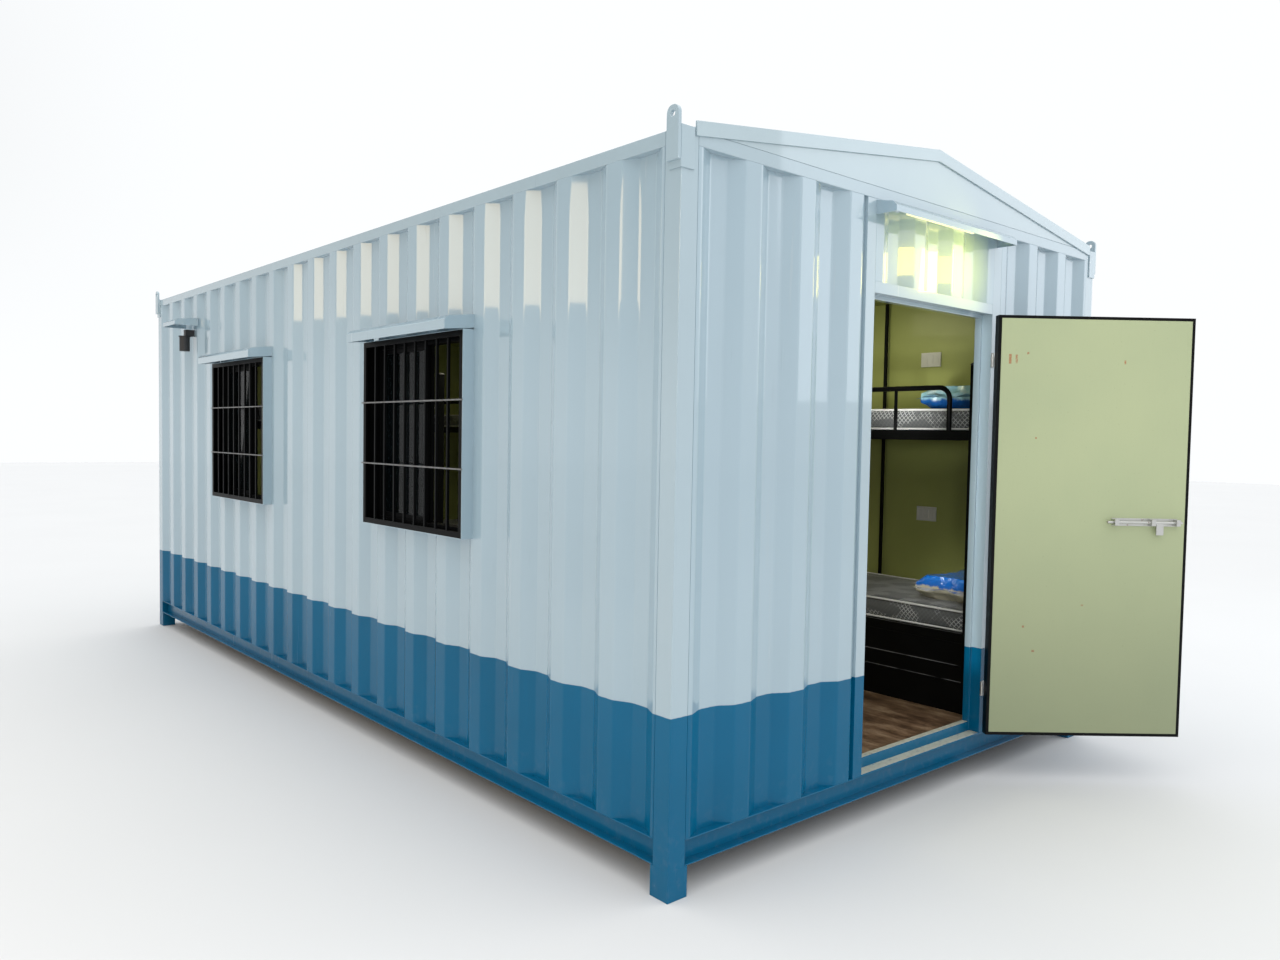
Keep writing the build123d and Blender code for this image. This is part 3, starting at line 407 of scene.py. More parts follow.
@dataclass(frozen=True)
class PowderCoat(Coating):
    """Black powder coat, worn to plain steel on the grilles' outer rods, with steel-grey painted highlight lines at
    given heights.
    """

    black: Colour = (0.003, 0.0033, 0.0036)
    dust: Colour = (0.016, 0.0165, 0.017)
    steel: Colour = (0.20, 0.205, 0.21)
    rod_face: float = 99.0
    painted_highlight_lines: tuple[float, ...] = ()
    gloss: float = 0.12

    def sockets(self, shader: Shader, place: Field) -> Inputs:
        """Mixes the finish."""
        across, _, up = shader.axes(place)
        across = abs(across)
        cloud = shader.noise(place, 5.0, 3.0)
        fine = shader.noise(place, 700.0, 1.0)
        rods = across.step(self.rod_face, self.rod_face + 0.0006)
        colour = shader.mix(cloud.step(0.45, 0.8) * 0.12, self.black, self.dust)
        worn = shader.mix(shader.noise(place, 55.0, 3.0).step(0.4, 0.7), self.steel, (0.15, 0.145, 0.14))
        colour = shader.mix(rods, colour, worn)
        # Painted highlights: steel-grey lines at the given heights, where the base panel's edges catch the light.
        for line in self.painted_highlight_lines:
            colour = shader.mix(up.near(line, 0.0018, 0.0012) * cloud.step(0.3, 0.6), colour, self.steel)
        rough = 0.27 + cloud * 0.16 + fine * 0.05
        normal = shader.bump(fine, 0.00008)
        return dict(Base_Color=colour, Roughness=rough, Normal=normal, Specular_IOR_Level=self.gloss)


@dataclass(frozen=True)
class TintedGlass(Coating):
    """Dark sheet glass that shows the room behind it."""

    tint: Colour = (0.003, 0.005, 0.006)
    cover: float = 0.66

    def sockets(self, shader: Shader, place: Field) -> Inputs:
        """Mixes the finish."""
        smear = shader.noise(shader.stretched(place, (4.0, 4.0, 9.0)), 3.0, 3.0)
        alpha = self.cover + smear * 0.02
        return dict(
            Base_Color=self.tint,
            Roughness=0.015 + smear * 0.02,
            Alpha=alpha,
            Specular_IOR_Level=0.12,
        )


@dataclass(frozen=True)
class Ticking(Coating):
    """Quilted grey ticking woven with a diamond lattice."""

    pale: Colour = (0.62, 0.63, 0.62)
    dark: Colour = (0.075, 0.08, 0.082)
    lattice: float = 0.024

    def sockets(self, shader: Shader, place: Field) -> Inputs:
        """Mixes the finish."""
        across, along, up = shader.axes(place)
        side = along + across * 0.6
        lines = abs((side + up).wave(self.lattice * 2)).lower(abs((side - up).wave(self.lattice * 2)))
        lattice = lines.step(0.12, 0.42, 1.0, 0.0)
        patch = shader.noise(shader.stretched(place, (1.0, 1.0, 1.5)), 6.0, 2.0).step(0.43, 0.53)
        weave = shader.noise(place, 620.0, 1.0)
        colour = shader.mix(shader.noise(place, 9.0, 3.0), self.dark, toned(self.dark, 1.5))
        colour = shader.mix(lattice * (patch * 0.9 + 0.08), colour, self.pale)
        colour = shader.mix(weave * 0.16, colour, toned(self.pale, 0.7))
        normal = shader.bump(lattice * patch + weave * 0.4, 0.0012)
        return dict(
            Base_Color=colour, Roughness=0.5 + weave * 0.25, Normal=normal, Sheen_Weight=0.35, Sheen_Roughness=0.4
        )


@dataclass(frozen=True)
class PlainCloth(Coating):
    """Woven tape for piping."""

    colour: Colour = (0.93, 0.93, 0.91)

    def sockets(self, shader: Shader, place: Field) -> Inputs:
        """Mixes the finish."""
        weave = shader.noise(place, 500.0, 1.0)
        cloud = shader.noise(place, 12.0, 2.0)
        colour = shader.mix(cloud * 0.5, self.colour, toned(self.colour, 0.9))
        return dict(Base_Color=colour, Roughness=0.6 + weave * 0.2, Normal=shader.bump(weave, 0.0004))


@dataclass(frozen=True)
class WornTread(Coating):
    """Sill paint that feet have worn down to a pale dusty undercoat."""

    pale: Colour = (0.50, 0.51, 0.43)
    paint: Colour = (0.03, 0.13, 0.24)
    dirt: Colour = (0.30, 0.27, 0.20)

    def sockets(self, shader: Shader, place: Field) -> Inputs:
        """Mixes the finish."""
        left = shader.noise(shader.stretched(place, (1.0, 3.0, 3.0)), 14.0, 4.0, 0.6).step(0.60, 0.70)
        dirty = shader.noise(place, 40.0, 4.0, 0.65)
        colour = shader.mix(dirty.step(0.45, 0.75) * 0.6, self.pale, self.dirt)
        colour = shader.mix(left, colour, self.paint)
        return dict(Base_Color=colour, Roughness=0.4 + dirty * 0.3, Normal=shader.bump(dirty - left, 0.0003))


@dataclass(frozen=True)
class BagFilm(Coating):
    """Glossy film round a pillow: a foot colour and a blue part with a crinkled edge between them, a lighter tone
    on top, and pale painted highlights on the crinkles there.
    """

    pale: Colour
    mid: Colour
    deep: Colour
    foot: Colour
    low: float
    high: float

    def sockets(self, shader: Shader, place: Field) -> Inputs:
        """Mixes the finish."""
        up = shader.axes(place)[2]
        crumple = shader.noise(place, 16.0, 4.0, 0.6)
        fold = shader.noise(shader.stretched(place, (1.0, 2.4, 1.0)), 9.0, 3.0, 0.55)
        rise = up + (fold - 0.5) * 0.05
        colour = shader.mix(rise.step(self.low, self.low + 0.012), self.foot, self.deep)
        # Lighter top tone: the upper bag's pale clear film, and painted light on the lower bag's blue top.
        colour = shader.mix(rise.step(self.high, self.high + 0.02), colour, self.mid)
        # Painted highlights: the pale colour on the crinkle ridges near the top.
        colour = shader.mix(crumple.step(0.5, 0.72) * rise.step(self.high, self.high + 0.05), colour, self.pale)
        rough = 0.12 + crumple * 0.22
        normal = shader.bump(crumple + fold * 0.8, 0.012, 0.7)
        return dict(Base_Color=colour, Roughness=rough, Normal=normal, Coat_Weight=0.6, Coat_Roughness=0.06)


@dataclass(frozen=True)
class Moulded(Coating):
    """Moulded plastic with a fine texture."""

    colour: Colour
    rough: float

    def sockets(self, shader: Shader, place: Field) -> Inputs:
        """Mixes the finish."""
        cloud = shader.noise(place, 18.0, 3.0)
        fine = shader.noise(place, 900.0, 1.0)
        colour = shader.mix(cloud * 0.6, self.colour, toned(self.colour, 0.82))
        return dict(
            Base_Color=colour, Roughness=self.rough + cloud * 0.1, Normal=shader.bump(fine, 0.00005)
        )


@dataclass(frozen=True)
class LampLens(Coating):
    """Opal lens of a lit lamp."""

    glow: Colour = (1.0, 0.93, 0.40)
    strength: float = 0.9

    def sockets(self, shader: Shader, place: Field) -> Inputs:
        """Mixes the finish."""
        along = shader.axes(place)[0]
        ribs = abs(along.wave(0.012))
        return dict(
            Base_Color=(0.9, 0.88, 0.8),
            Roughness=0.3,
            Normal=shader.bump(ribs, 0.0006),
            Emission_Color=self.glow,
            Emission_Strength=self.strength,
        )


@dataclass(frozen=True)
class Zinc(Coating):
    """Zinc plated steel with dull patches and a little rust."""

    bright: Colour = (0.62, 0.62, 0.60)
    rust: Colour = (0.22, 0.10, 0.045)

    def sockets(self, shader: Shader, place: Field) -> Inputs:
        """Mixes the finish."""
        patch = shader.noise(place, 70.0, 4.0, 0.6)
        brush = shader.noise(shader.stretched(place, (30.0, 30.0, 600.0)), 1.0, 2.0)
        rusty = patch.step(0.62, 0.72)
        colour = shader.mix(brush * 0.4, self.bright, toned(self.bright, 0.7))
        colour = shader.mix(rusty * 0.75, colour, self.rust)
        return dict(
            Base_Color=colour,
            Metallic=0.9 - rusty * 0.7,
            Roughness=0.3 + patch * 0.25 + rusty * 0.25,
            Normal=shader.bump(patch + brush * 0.3, 0.0003),
        )


HINGE_POINT: Point = (0.495, -2.735296, 0.0)
LEAF_HEADING = math.radians(-40.3)
DOOR_MARKS = (
    (0.062, 1.985, 0.005, 0.021),
    (0.092, 1.985, 0.004, 0.019),
    (0.145, 2.012, 0.004, 0.004),
    (0.60, 1.978, 0.003, 0.008),
    (0.195, 1.62, 0.003, 0.003),
    (0.165, 0.735, 0.004, 0.004),
    (0.215, 0.62, 0.006, 0.004),
    (0.44, 0.84, 0.004, 0.003),
)

BAG_BLUES: tuple[Colour, Colour] = ((0.006, 0.11, 0.42), (0.005, 0.09, 0.36))
BAG_BEIGE: Colour = (0.60, 0.56, 0.42)


class Finish(Enum):
    """The finishes of the cabin, each with the record's slot and how it is made."""

    WALL = ("wall_paint", BandedPaint("wall enamel", 1.0))
    # The gable enamel's lighter white than the walls' is painted light; its deeper dents are the sheet's own.
    GABLE = ("wall_paint", BandedPaint("gable enamel", 2.6, (0.405, 0.515, 0.565)))
    FRAME = ("frame_paint", BandedPaint("frame enamel", 0.35, (0.365, 0.475, 0.535)))
    LINING = ("lining_board", Laminate("room laminate", (0.40, 0.435, 0.135), (0.34, 0.375, 0.11)))
    DOOR_BOARD = (
        "lining_board",
        Laminate(
            "door laminate",
            (0.50, 0.555, 0.322),
            (0.46, 0.52, 0.305),
            DOOR_MARKS,
            HINGE_POINT,
            LEAF_HEADING,
            foot_shade=0.52,
        ),
    )
    FLOOR = ("floor_vinyl", PlankVinyl("plank vinyl"))
    TREAD = ("frame_paint", WornTread("worn sill paint"))
    BLACK = ("black_metal", PowderCoat("black powder coat"))
    GRILLE = ("black_metal", PowderCoat("grille powder coat", rod_face=1.5804, gloss=0.05))
    WINDOW = ("black_metal", PowderCoat("window powder coat", gloss=0.04))
    # The base panel's two lines are painted highlights on its groove edges.
    BASE_PANEL = ("black_metal", PowderCoat("base panel powder coat", painted_highlight_lines=(0.4075, 0.488)))
    GLASS = ("tinted_glass", TintedGlass("tinted glass"))
    TICKING = ("mattress_fabric", Ticking("quilted ticking"))
    PIPING = ("mattress_fabric", PlainCloth("piping tape"))
    BAG_UPPER = (
        "pillow_wrap",
        BagFilm("pale bag film", (0.72, 0.90, 0.92), (0.36, 0.66, 0.74), *BAG_BLUES, 1.70, 1.808),
    )
    BAG_LOWER = (
        "pillow_wrap",
        BagFilm(
            "blue bag film", (0.10, 0.38, 0.85), (0.012, 0.18, 0.66), (0.008, 0.14, 0.56), BAG_BEIGE, 0.822, 0.850
        ),
    )
    WHITE_PLASTIC = ("white_plastic", Moulded("white plastic", (0.74, 0.73, 0.68), 0.28))
    BLACK_PLASTIC = ("black_plastic", Moulded("black plastic", (0.02, 0.02, 0.022), 0.42))
    LENS = ("lamp_lens", LampLens("opal lens"))
    ZINC = ("bright_steel", Zinc("zinc plate"))

    @property
    def slot(self) -> str:
        """The record's material slot."""
        return self.value[0]


class Palette:
    """Makes each finish once."""

    def __init__(self) -> None:
        """Starts with nothing made."""
        self.made: dict[Finish, bpy.types.Material] = {}

    def get(self, finish: Finish) -> bpy.types.Material:
        """The material of a finish."""
        if finish not in self.made:
            self.made[finish] = finish.value[1].make()
        return self.made[finish]

    def wear(self, piece: bpy.types.Object, finish: Finish) -> None:
        """Gives a piece one finish all over."""
        piece.data.materials.clear()
        piece.data.materials.append(self.get(finish))


PALETTE = Palette()


class Bench:
    """Object handling shared by all the pieces."""

    @staticmethod
    def clear() -> None:
        """Leaves edit mode and deselects everything."""
        if bpy.context.object and bpy.context.object.mode != "OBJECT":
            bpy.ops.object.mode_set(mode="OBJECT")
        bpy.ops.object.select_all(action="DESELECT")

    @staticmethod
    def pick(piece: bpy.types.Object) -> None:
        """Makes a piece the one that operators act on."""
        Bench.clear()
        piece.select_set(True)
        bpy.context.view_layer.objects.active = piece

    @staticmethod
    def edit(piece: bpy.types.Object, kind: str = "EDGE") -> bmesh.types.BMesh:
        """Opens a piece in edit mode with nothing selected.

        Args:
            piece: the piece to shape.
            kind: what is selected there.

        Returns:
            The edit mesh, to select in.
        """
        Bench.pick(piece)
        bpy.ops.object.mode_set(mode="EDIT")
        bpy.ops.mesh.select_mode(type=kind)
        bpy.ops.mesh.select_all(action="DESELECT")
        return bmesh.from_edit_mesh(piece.data)

    @staticmethod
    def close(piece: bpy.types.Object) -> None:
        """Goes back to object mode."""
        bmesh.update_edit_mesh(piece.data)
        bpy.ops.object.mode_set(mode="OBJECT")

    @staticmethod
    def subdivide(piece: bpy.types.Object, cuts: int) -> None:
        """Cuts every edge of a piece into equal parts."""
        Bench.edit(piece)
        bpy.ops.mesh.select_all(action="SELECT")
        bpy.ops.mesh.subdivide(number_cuts=cuts)
        Bench.close(piece)

    @staticmethod
    def inset(piece: bpy.types.Object, way: Point, *insets: tuple[float, float]) -> None:
        """Insets the faces that look one way.

        Args:
            piece: the piece to shape.
            way: where the faces look.
            insets: the width and depth of each inset in turn.
        """
        for face in Bench.edit(piece, "FACE").faces:
            face.select_set(face.normal.dot(Vector(way)) > FACING)
        bmesh.update_edit_mesh(piece.data)
        for width, depth in insets:
            bpy.ops.mesh.inset(thickness=width, depth=depth)
        Bench.close(piece)

    @staticmethod
    def modify(piece: bpy.types.Object, kind: str, **settings: object) -> None:
        """Adds a modifier and applies it.

        Args:
            piece: the piece to change.
            kind: the modifier's type.
            settings: its properties.
        """
        Bench.pick(piece)
        modifier = piece.modifiers.new(kind.lower(), kind)
        for name, value in settings.items():
            setattr(modifier, name, value)
        bpy.ops.object.modifier_apply(modifier=modifier.name)

    @staticmethod
    def smooth(piece: bpy.types.Object, angle: float) -> None:
        """Smooth shading up to an angle between faces, in degrees."""
        Bench.pick(piece)
        bpy.ops.object.shade_smooth_by_angle(angle=math.radians(angle))

    @staticmethod
    def settle(piece: bpy.types.Object) -> None:
        """Puts a piece's place, turn and size into its mesh."""
        Bench.pick(piece)
        bpy.ops.object.transform_apply(location=True, rotation=True, scale=True)

    @staticmethod
    def copy(piece: bpy.types.Object, name: str, matrix: Matrix) -> bpy.types.Object:
        """Copies a piece with a mesh of its own.

        Args:
            piece: the piece to copy.
            name: the copy's name.
            matrix: the move from the piece to its copy.

        Returns:
            The copy.
        """
        twin = bpy.data.objects.new(name, piece.data.copy())
        bpy.context.scene.collection.objects.link(twin)
        twin.data.transform(matrix)
        if matrix.determinant() < 0:
            twin.data.flip_normals()
        return twin

    @staticmethod
    def join(pieces: Sequence[bpy.types.Object], name: str) -> bpy.types.Object:
        """Joins pieces into the first one under a name and returns it."""
        Bench.clear()
        for piece in pieces:
            piece.select_set(True)
        bpy.context.view_layer.objects.active = pieces[0]
        bpy.ops.object.join()
        pieces[0].name = name
        return pieces[0]

    @staticmethod
    def box(name: str, low: Point, high: Point) -> bpy.types.Object:
        """Adds a cube primitive between two corners, to be shaped.

        Args:
            name: the piece's name.
            low: its lowest corner.
            high: its highest corner.

        Returns:
            The piece, at the origin with its place in its mesh.
        """
        Bench.clear()
        middle = tuple((a + b) / 2 for a, b in zip(low, high))
        bpy.ops.mesh.primitive_cube_add(size=1.0, location=middle)
        piece = bpy.context.object
        piece.name = name
        piece.scale = tuple(b - a for a, b in zip(low, high))
        Bench.settle(piece)
        return piece

    @staticmethod
    def place(piece: bpy.types.Object, body: str, finish: Finish, *nodes: str) -> None:
        """Finishes a piece: its material, its body and the nodes that it stands for.

        Args:
            piece: the finished piece.
            body: the body that it moves with.
            finish: its finish.
            nodes: the CAD nodes that it replaces.
        """
        PALETTE.wear(piece, finish)
        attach(piece, body)
        if nodes:
            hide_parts(*nodes)
        LOG.info("%s: %d faces on %s", piece.name, len(piece.data.polygons), body)


def solids(node: str) -> list[tuple[Vector, Vector]]:
    """Finds the separate solids of a CAD node.

    Args:
        node: the node's name.

    Returns:
        The lowest and highest corner of each, in order of X, Y and Z.
    """
    mesh = bmesh.new()
    mesh.from_mesh(frame["nodes"][node].data)
    bmesh.ops.remove_doubles(mesh, verts=mesh.verts[:], dist=MERGE)
    left, found = set(mesh.verts), []
    while left:
        front, island = [left.pop()], []
        while front:
            vert = front.pop()
            island.append(vert.co.copy())
            for edge in vert.link_edges:
                other = edge.other_vert(vert)
                if other in left:
                    left.discard(other)
                    front.append(other)
        corners = np.array(island)
        found.append((Vector(corners.min(0)), Vector(corners.max(0))))
    mesh.free()
    return sorted(found, key=lambda pair: tuple(round(c, 3) for c in pair[0]))


@dataclass(frozen=True)
class EdgeRound:
    """Which edges of a steel piece are rounded, and how far."""

    offset: float
    segments: int = 2
    least_turn: float = 40.0
    most_turn: float = 140.0
    least_length: float = 0.0
    convex: bool = True

    def takes(self, edge: bmesh.types.BMEdge) -> bool:
        """Whether an edge is rounded."""
        if len(edge.link_faces) != 2 or (self.convex and not edge.is_convex):
            return False
        turn = math.degrees(edge.calc_face_angle())
        return self.least_turn <= turn <= self.most_turn and edge.calc_length() >= self.least_length


@dataclass(frozen=True)
class Softened:
    """A CAD node whose bends and edges get the radius that the real piece has."""

    node: str
    finish: Finish
    edges: EdgeRound
    body: str = CABIN
    smooth_angle: float = 38.0

    def build(self) -> bpy.types.Object:
        """Copies the node, rounds its edges and puts the copy in its place.

        Returns:
            The finished piece.
        """
        source = frame["nodes"][self.node]
        piece = bpy.data.objects.new(f"{self.node}_finished", source.data.copy())
        bpy.context.scene.collection.objects.link(piece)
        Bench.edit(piece)
        bpy.ops.mesh.select_all(action="SELECT")
        bpy.ops.mesh.remove_doubles(threshold=MERGE)
        bpy.ops.mesh.dissolve_limited(angle_limit=math.radians(0.4))
        bpy.ops.mesh.select_all(action="DESELECT")
        for edge in bmesh.from_edit_mesh(piece.data).edges:
            edge.select_set(self.edges.takes(edge))
        bmesh.update_edit_mesh(piece.data)
        bpy.ops.mesh.bevel(
            offset=self.edges.offset, segments=self.edges.segments, affect="EDGES", clamp_overlap=True
        )
        Bench.close(piece)
        Bench.smooth(piece, self.smooth_angle)
        Bench.modify(piece, "WEIGHTED_NORMAL", keep_sharp=True, weight=80)
        Bench.place(piece, self.body, self.finish, self.node)
        return piece


FOLD = EdgeRound(0.007, 3, 14.0, 60.0, 0.15, False)
TUBE = EdgeRound(0.0028, 2, least_length=0.3)
EDGE = EdgeRound(0.0012, 2)
THIN = EdgeRound(0.0006, 1)


class Steelwork:
    """The painted steel: frame, sheets, roof, hoods and window surrounds."""

    SHEETS = ("near_wall_panels", "far_wall_panels", "door_end_panels", "back_wall_panel", "door_transom")
    BAYS = ("near_window_bays", "far_window_bays")
    TUBES = ("corner_posts", "top_side_rails", "top_end_rails", "base_side_rails", "base_end_rails")
    PLATES = ("lifting_lugs", "corner_legs", "door_jambs", "door_head")
    TRIMS = ("rain_hoods", "ridge_cap")

    def build(self) -> None:
        """Rounds and paints each steel piece."""
        for node in self.SHEETS + self.BAYS:
            Softened(node, Finish.WALL, FOLD).build()
        for node in self.TUBES:
            Softened(node, Finish.FRAME, TUBE).build()
        for node in self.PLATES:
            Softened(node, Finish.FRAME, EDGE).build()
        for node in self.TRIMS:
            Softened(node, Finish.WALL, THIN).build()
        Softened("barge_trims", Finish.GABLE, THIN).build()
        Softened("roof_panels", Finish.WALL, FOLD).build()
        PALETTE.wear(frame["nodes"]["gables"], Finish.GABLE)
        PALETTE.wear(frame["nodes"]["floor_joists"], Finish.FRAME)


class Room:
    """The room's lining, ceiling and floor."""

    def build(self) -> None:
        """Dresses the boards."""
        for node in ("near_lining", "far_lining", "end_linings", "ceiling_board"):
            PALETTE.wear(frame["nodes"][node], Finish.LINING)
        PALETTE.wear(frame["nodes"]["floor_board"], Finish.FLOOR)


@dataclass
class Sockets:
    """Socket plates with a sunk panel and three modules."""

    rim: float = 0.009
    sunk: float = 0.003
    slope: float = 0.0015
    module: tuple[float, float] = (0.030, 0.054)
    pitch: float = 0.037
    set_back: float = 0.0004
    key_rim: float = 0.005
    key_sunk: float = 0.0012
    edge: float = 0.0009

    def build(self) -> None:
        """Models one plate and copies it to each place."""
        places = solids("socket_plates")
        master = self.plate(places[0][1] - places[0][0])
        for number, (low, high) in enumerate(places, 1):
            made = Bench.copy(master, f"socket_plate_{number}", Matrix.Translation((low + high) / 2))
            Bench.place(made, CABIN, Finish.WHITE_PLASTIC, "socket_plates")
        bpy.data.objects.remove(master)

    def plate(self, size: Vector) -> bpy.types.Object:
        """Models a plate that faces along minus X.

        Args:
            size: the plate's size.

        Returns:
            The plate with its modules.
        """
        half = size / 2
        plate = Bench.box("socket_master", tuple(-half), tuple(half))
        front = (-1.0, 0.0, 0.0)
        Bench.inset(plate, front, (self.rim, 0.0), (self.slope, -self.sunk))
        parts = [plate]
        wide, high = self.module
        for step in (-1, 0, 1):
            low = (self.set_back - half.x, step * self.pitch - wide / 2, -high / 2)
            key = Bench.box("module", low, (0.0, step * self.pitch + wide / 2, high / 2))
            Bench.inset(key, front, (self.key_rim, -self.key_sunk if step else 0.0))
            parts.append(key)
        whole = Bench.join(parts, "socket_master")
        Bench.modify(whole, "BEVEL", width=self.edge, segments=2, limit_method="ANGLE")
        Bench.smooth(whole, 40.0)
        return whole


class Windows:
    """Black sliding windows with tinted panes behind bar grilles, in sheet surrounds."""

    def surrounds(self) -> None:
        """Rounds the surrounds, with enamel outside and black inside, the black on the reveal faces being painted
        shade.
        """
        piece = Softened("window_surrounds", Finish.WALL, THIN).build()
        piece.data.materials.append(PALETTE.get(Finish.WINDOW))
        middles = [(low + high) / 2 for low, high in solids("window_frames")]
        for face in piece.data.polygons:
            inward = min((middle - face.center for middle in middles), key=lambda way: way.length)
            inward.x = 0.0
            # Painted shade: the reveal faces turned towards an opening take the black window finish.
            if abs(face.normal.x) < 0.3 and face.normal.dot(inward) > 0.0:
                face.material_index = 1

    def build(self) -> None:
        """Rounds the frames and dresses the panes."""
        self.surrounds()
        Softened("window_frames", Finish.WINDOW, EDGE).build()
        Softened("window_sashes", Finish.WINDOW, EDGE).build()
        Softened("window_grilles", Finish.GRILLE, EDGE).build()
        PALETTE.wear(frame["nodes"]["window_panes"], Finish.GLASS)


class Doorway:
    """The door leaf with its hinges, bolt and keeper."""

    FITTINGS = (
        ("hinge_pins", CABIN),
        ("bolt_keeper", CABIN),
        ("door_hinge_straps", DOOR),
        ("bolt_brackets", DOOR),
        ("bolt_rod", DOOR_BOLT),
    )

    def sill(self) -> None:
        """Rounds the sill, blue on its riser and worn pale where feet tread."""
        piece = Softened("door_sill", Finish.FRAME, EDGE).build()
        piece.data.materials.append(PALETTE.get(Finish.TREAD))
        for face in piece.data.polygons:
            if face.normal.z > 0.8:
                face.material_index = 1

    def build(self) -> None:
        """Rounds and dresses the door."""
        self.sill()
        Softened("door_edge_frame", Finish.BLACK, EDGE, DOOR).build()
        Softened("door_leaf", Finish.WALL, EDGE, DOOR).build()
        Softened("door_inner_panel", Finish.DOOR_BOARD, EDGE, DOOR).build()
        for node, body in self.FITTINGS:
            Softened(node, Finish.ZINC, THIN, body).build()
        PALETTE.wear(frame["nodes"]["door_lamp"], Finish.LENS)
        Softened("power_inlet", Finish.BLACK_PLASTIC, EDGE).build()


@dataclass
class Bunks:
    """Black steel bunk beds with capped posts."""

    cap_over: float = 0.002
    cap_height: float = 0.014
    cap_slope: float = 0.45
    cap_edge: float = 0.004
    cap_gap: float = 0.0002

    def caps(self) -> None:
        """Puts a domed plastic cap on every corner post."""
        posts = [(low, high) for low, high in solids("bunk_posts") if low.z < min(0.3, high.z - 1.5)]
        half = (posts[0][1].x - posts[0][0].x) / 2 + self.cap_over
        cap = Bench.box("cap_master", (-half, -half, 0.0), (half, half, self.cap_height * 0.5))
        Bench.inset(cap, (0.0, 0.0, 1.0), (half * self.cap_slope, self.cap_height * 0.5))
        Bench.modify(
            cap, "BEVEL", width=self.cap_edge, segments=3, limit_method="ANGLE", angle_limit=math.radians(20)
        )
        Bench.smooth(cap, 60.0)
        copies = []
        for low, high in posts:
            top = Matrix.Translation(((low.x + high.x) / 2, (low.y + high.y) / 2, high.z + self.cap_gap))
            copies.append(Bench.copy(cap, "post_cap", top))
        bpy.data.objects.remove(cap)
        Bench.place(Bench.join(copies, "bunk_post_caps"), CABIN, Finish.BLACK_PLASTIC)

    def build(self) -> None:
        """Rounds and dresses the bunks."""
        self.caps()
        Softened("bunk_posts", Finish.BLACK, EDGE).build()
        Softened("bunk_decks", Finish.BLACK, EDGE).build()
        Softened("bunk_base_panel", Finish.BASE_PANEL, THIN).build()
        Softened("bunk_guard", Finish.BLACK, THIN, smooth_angle=50.0).build()


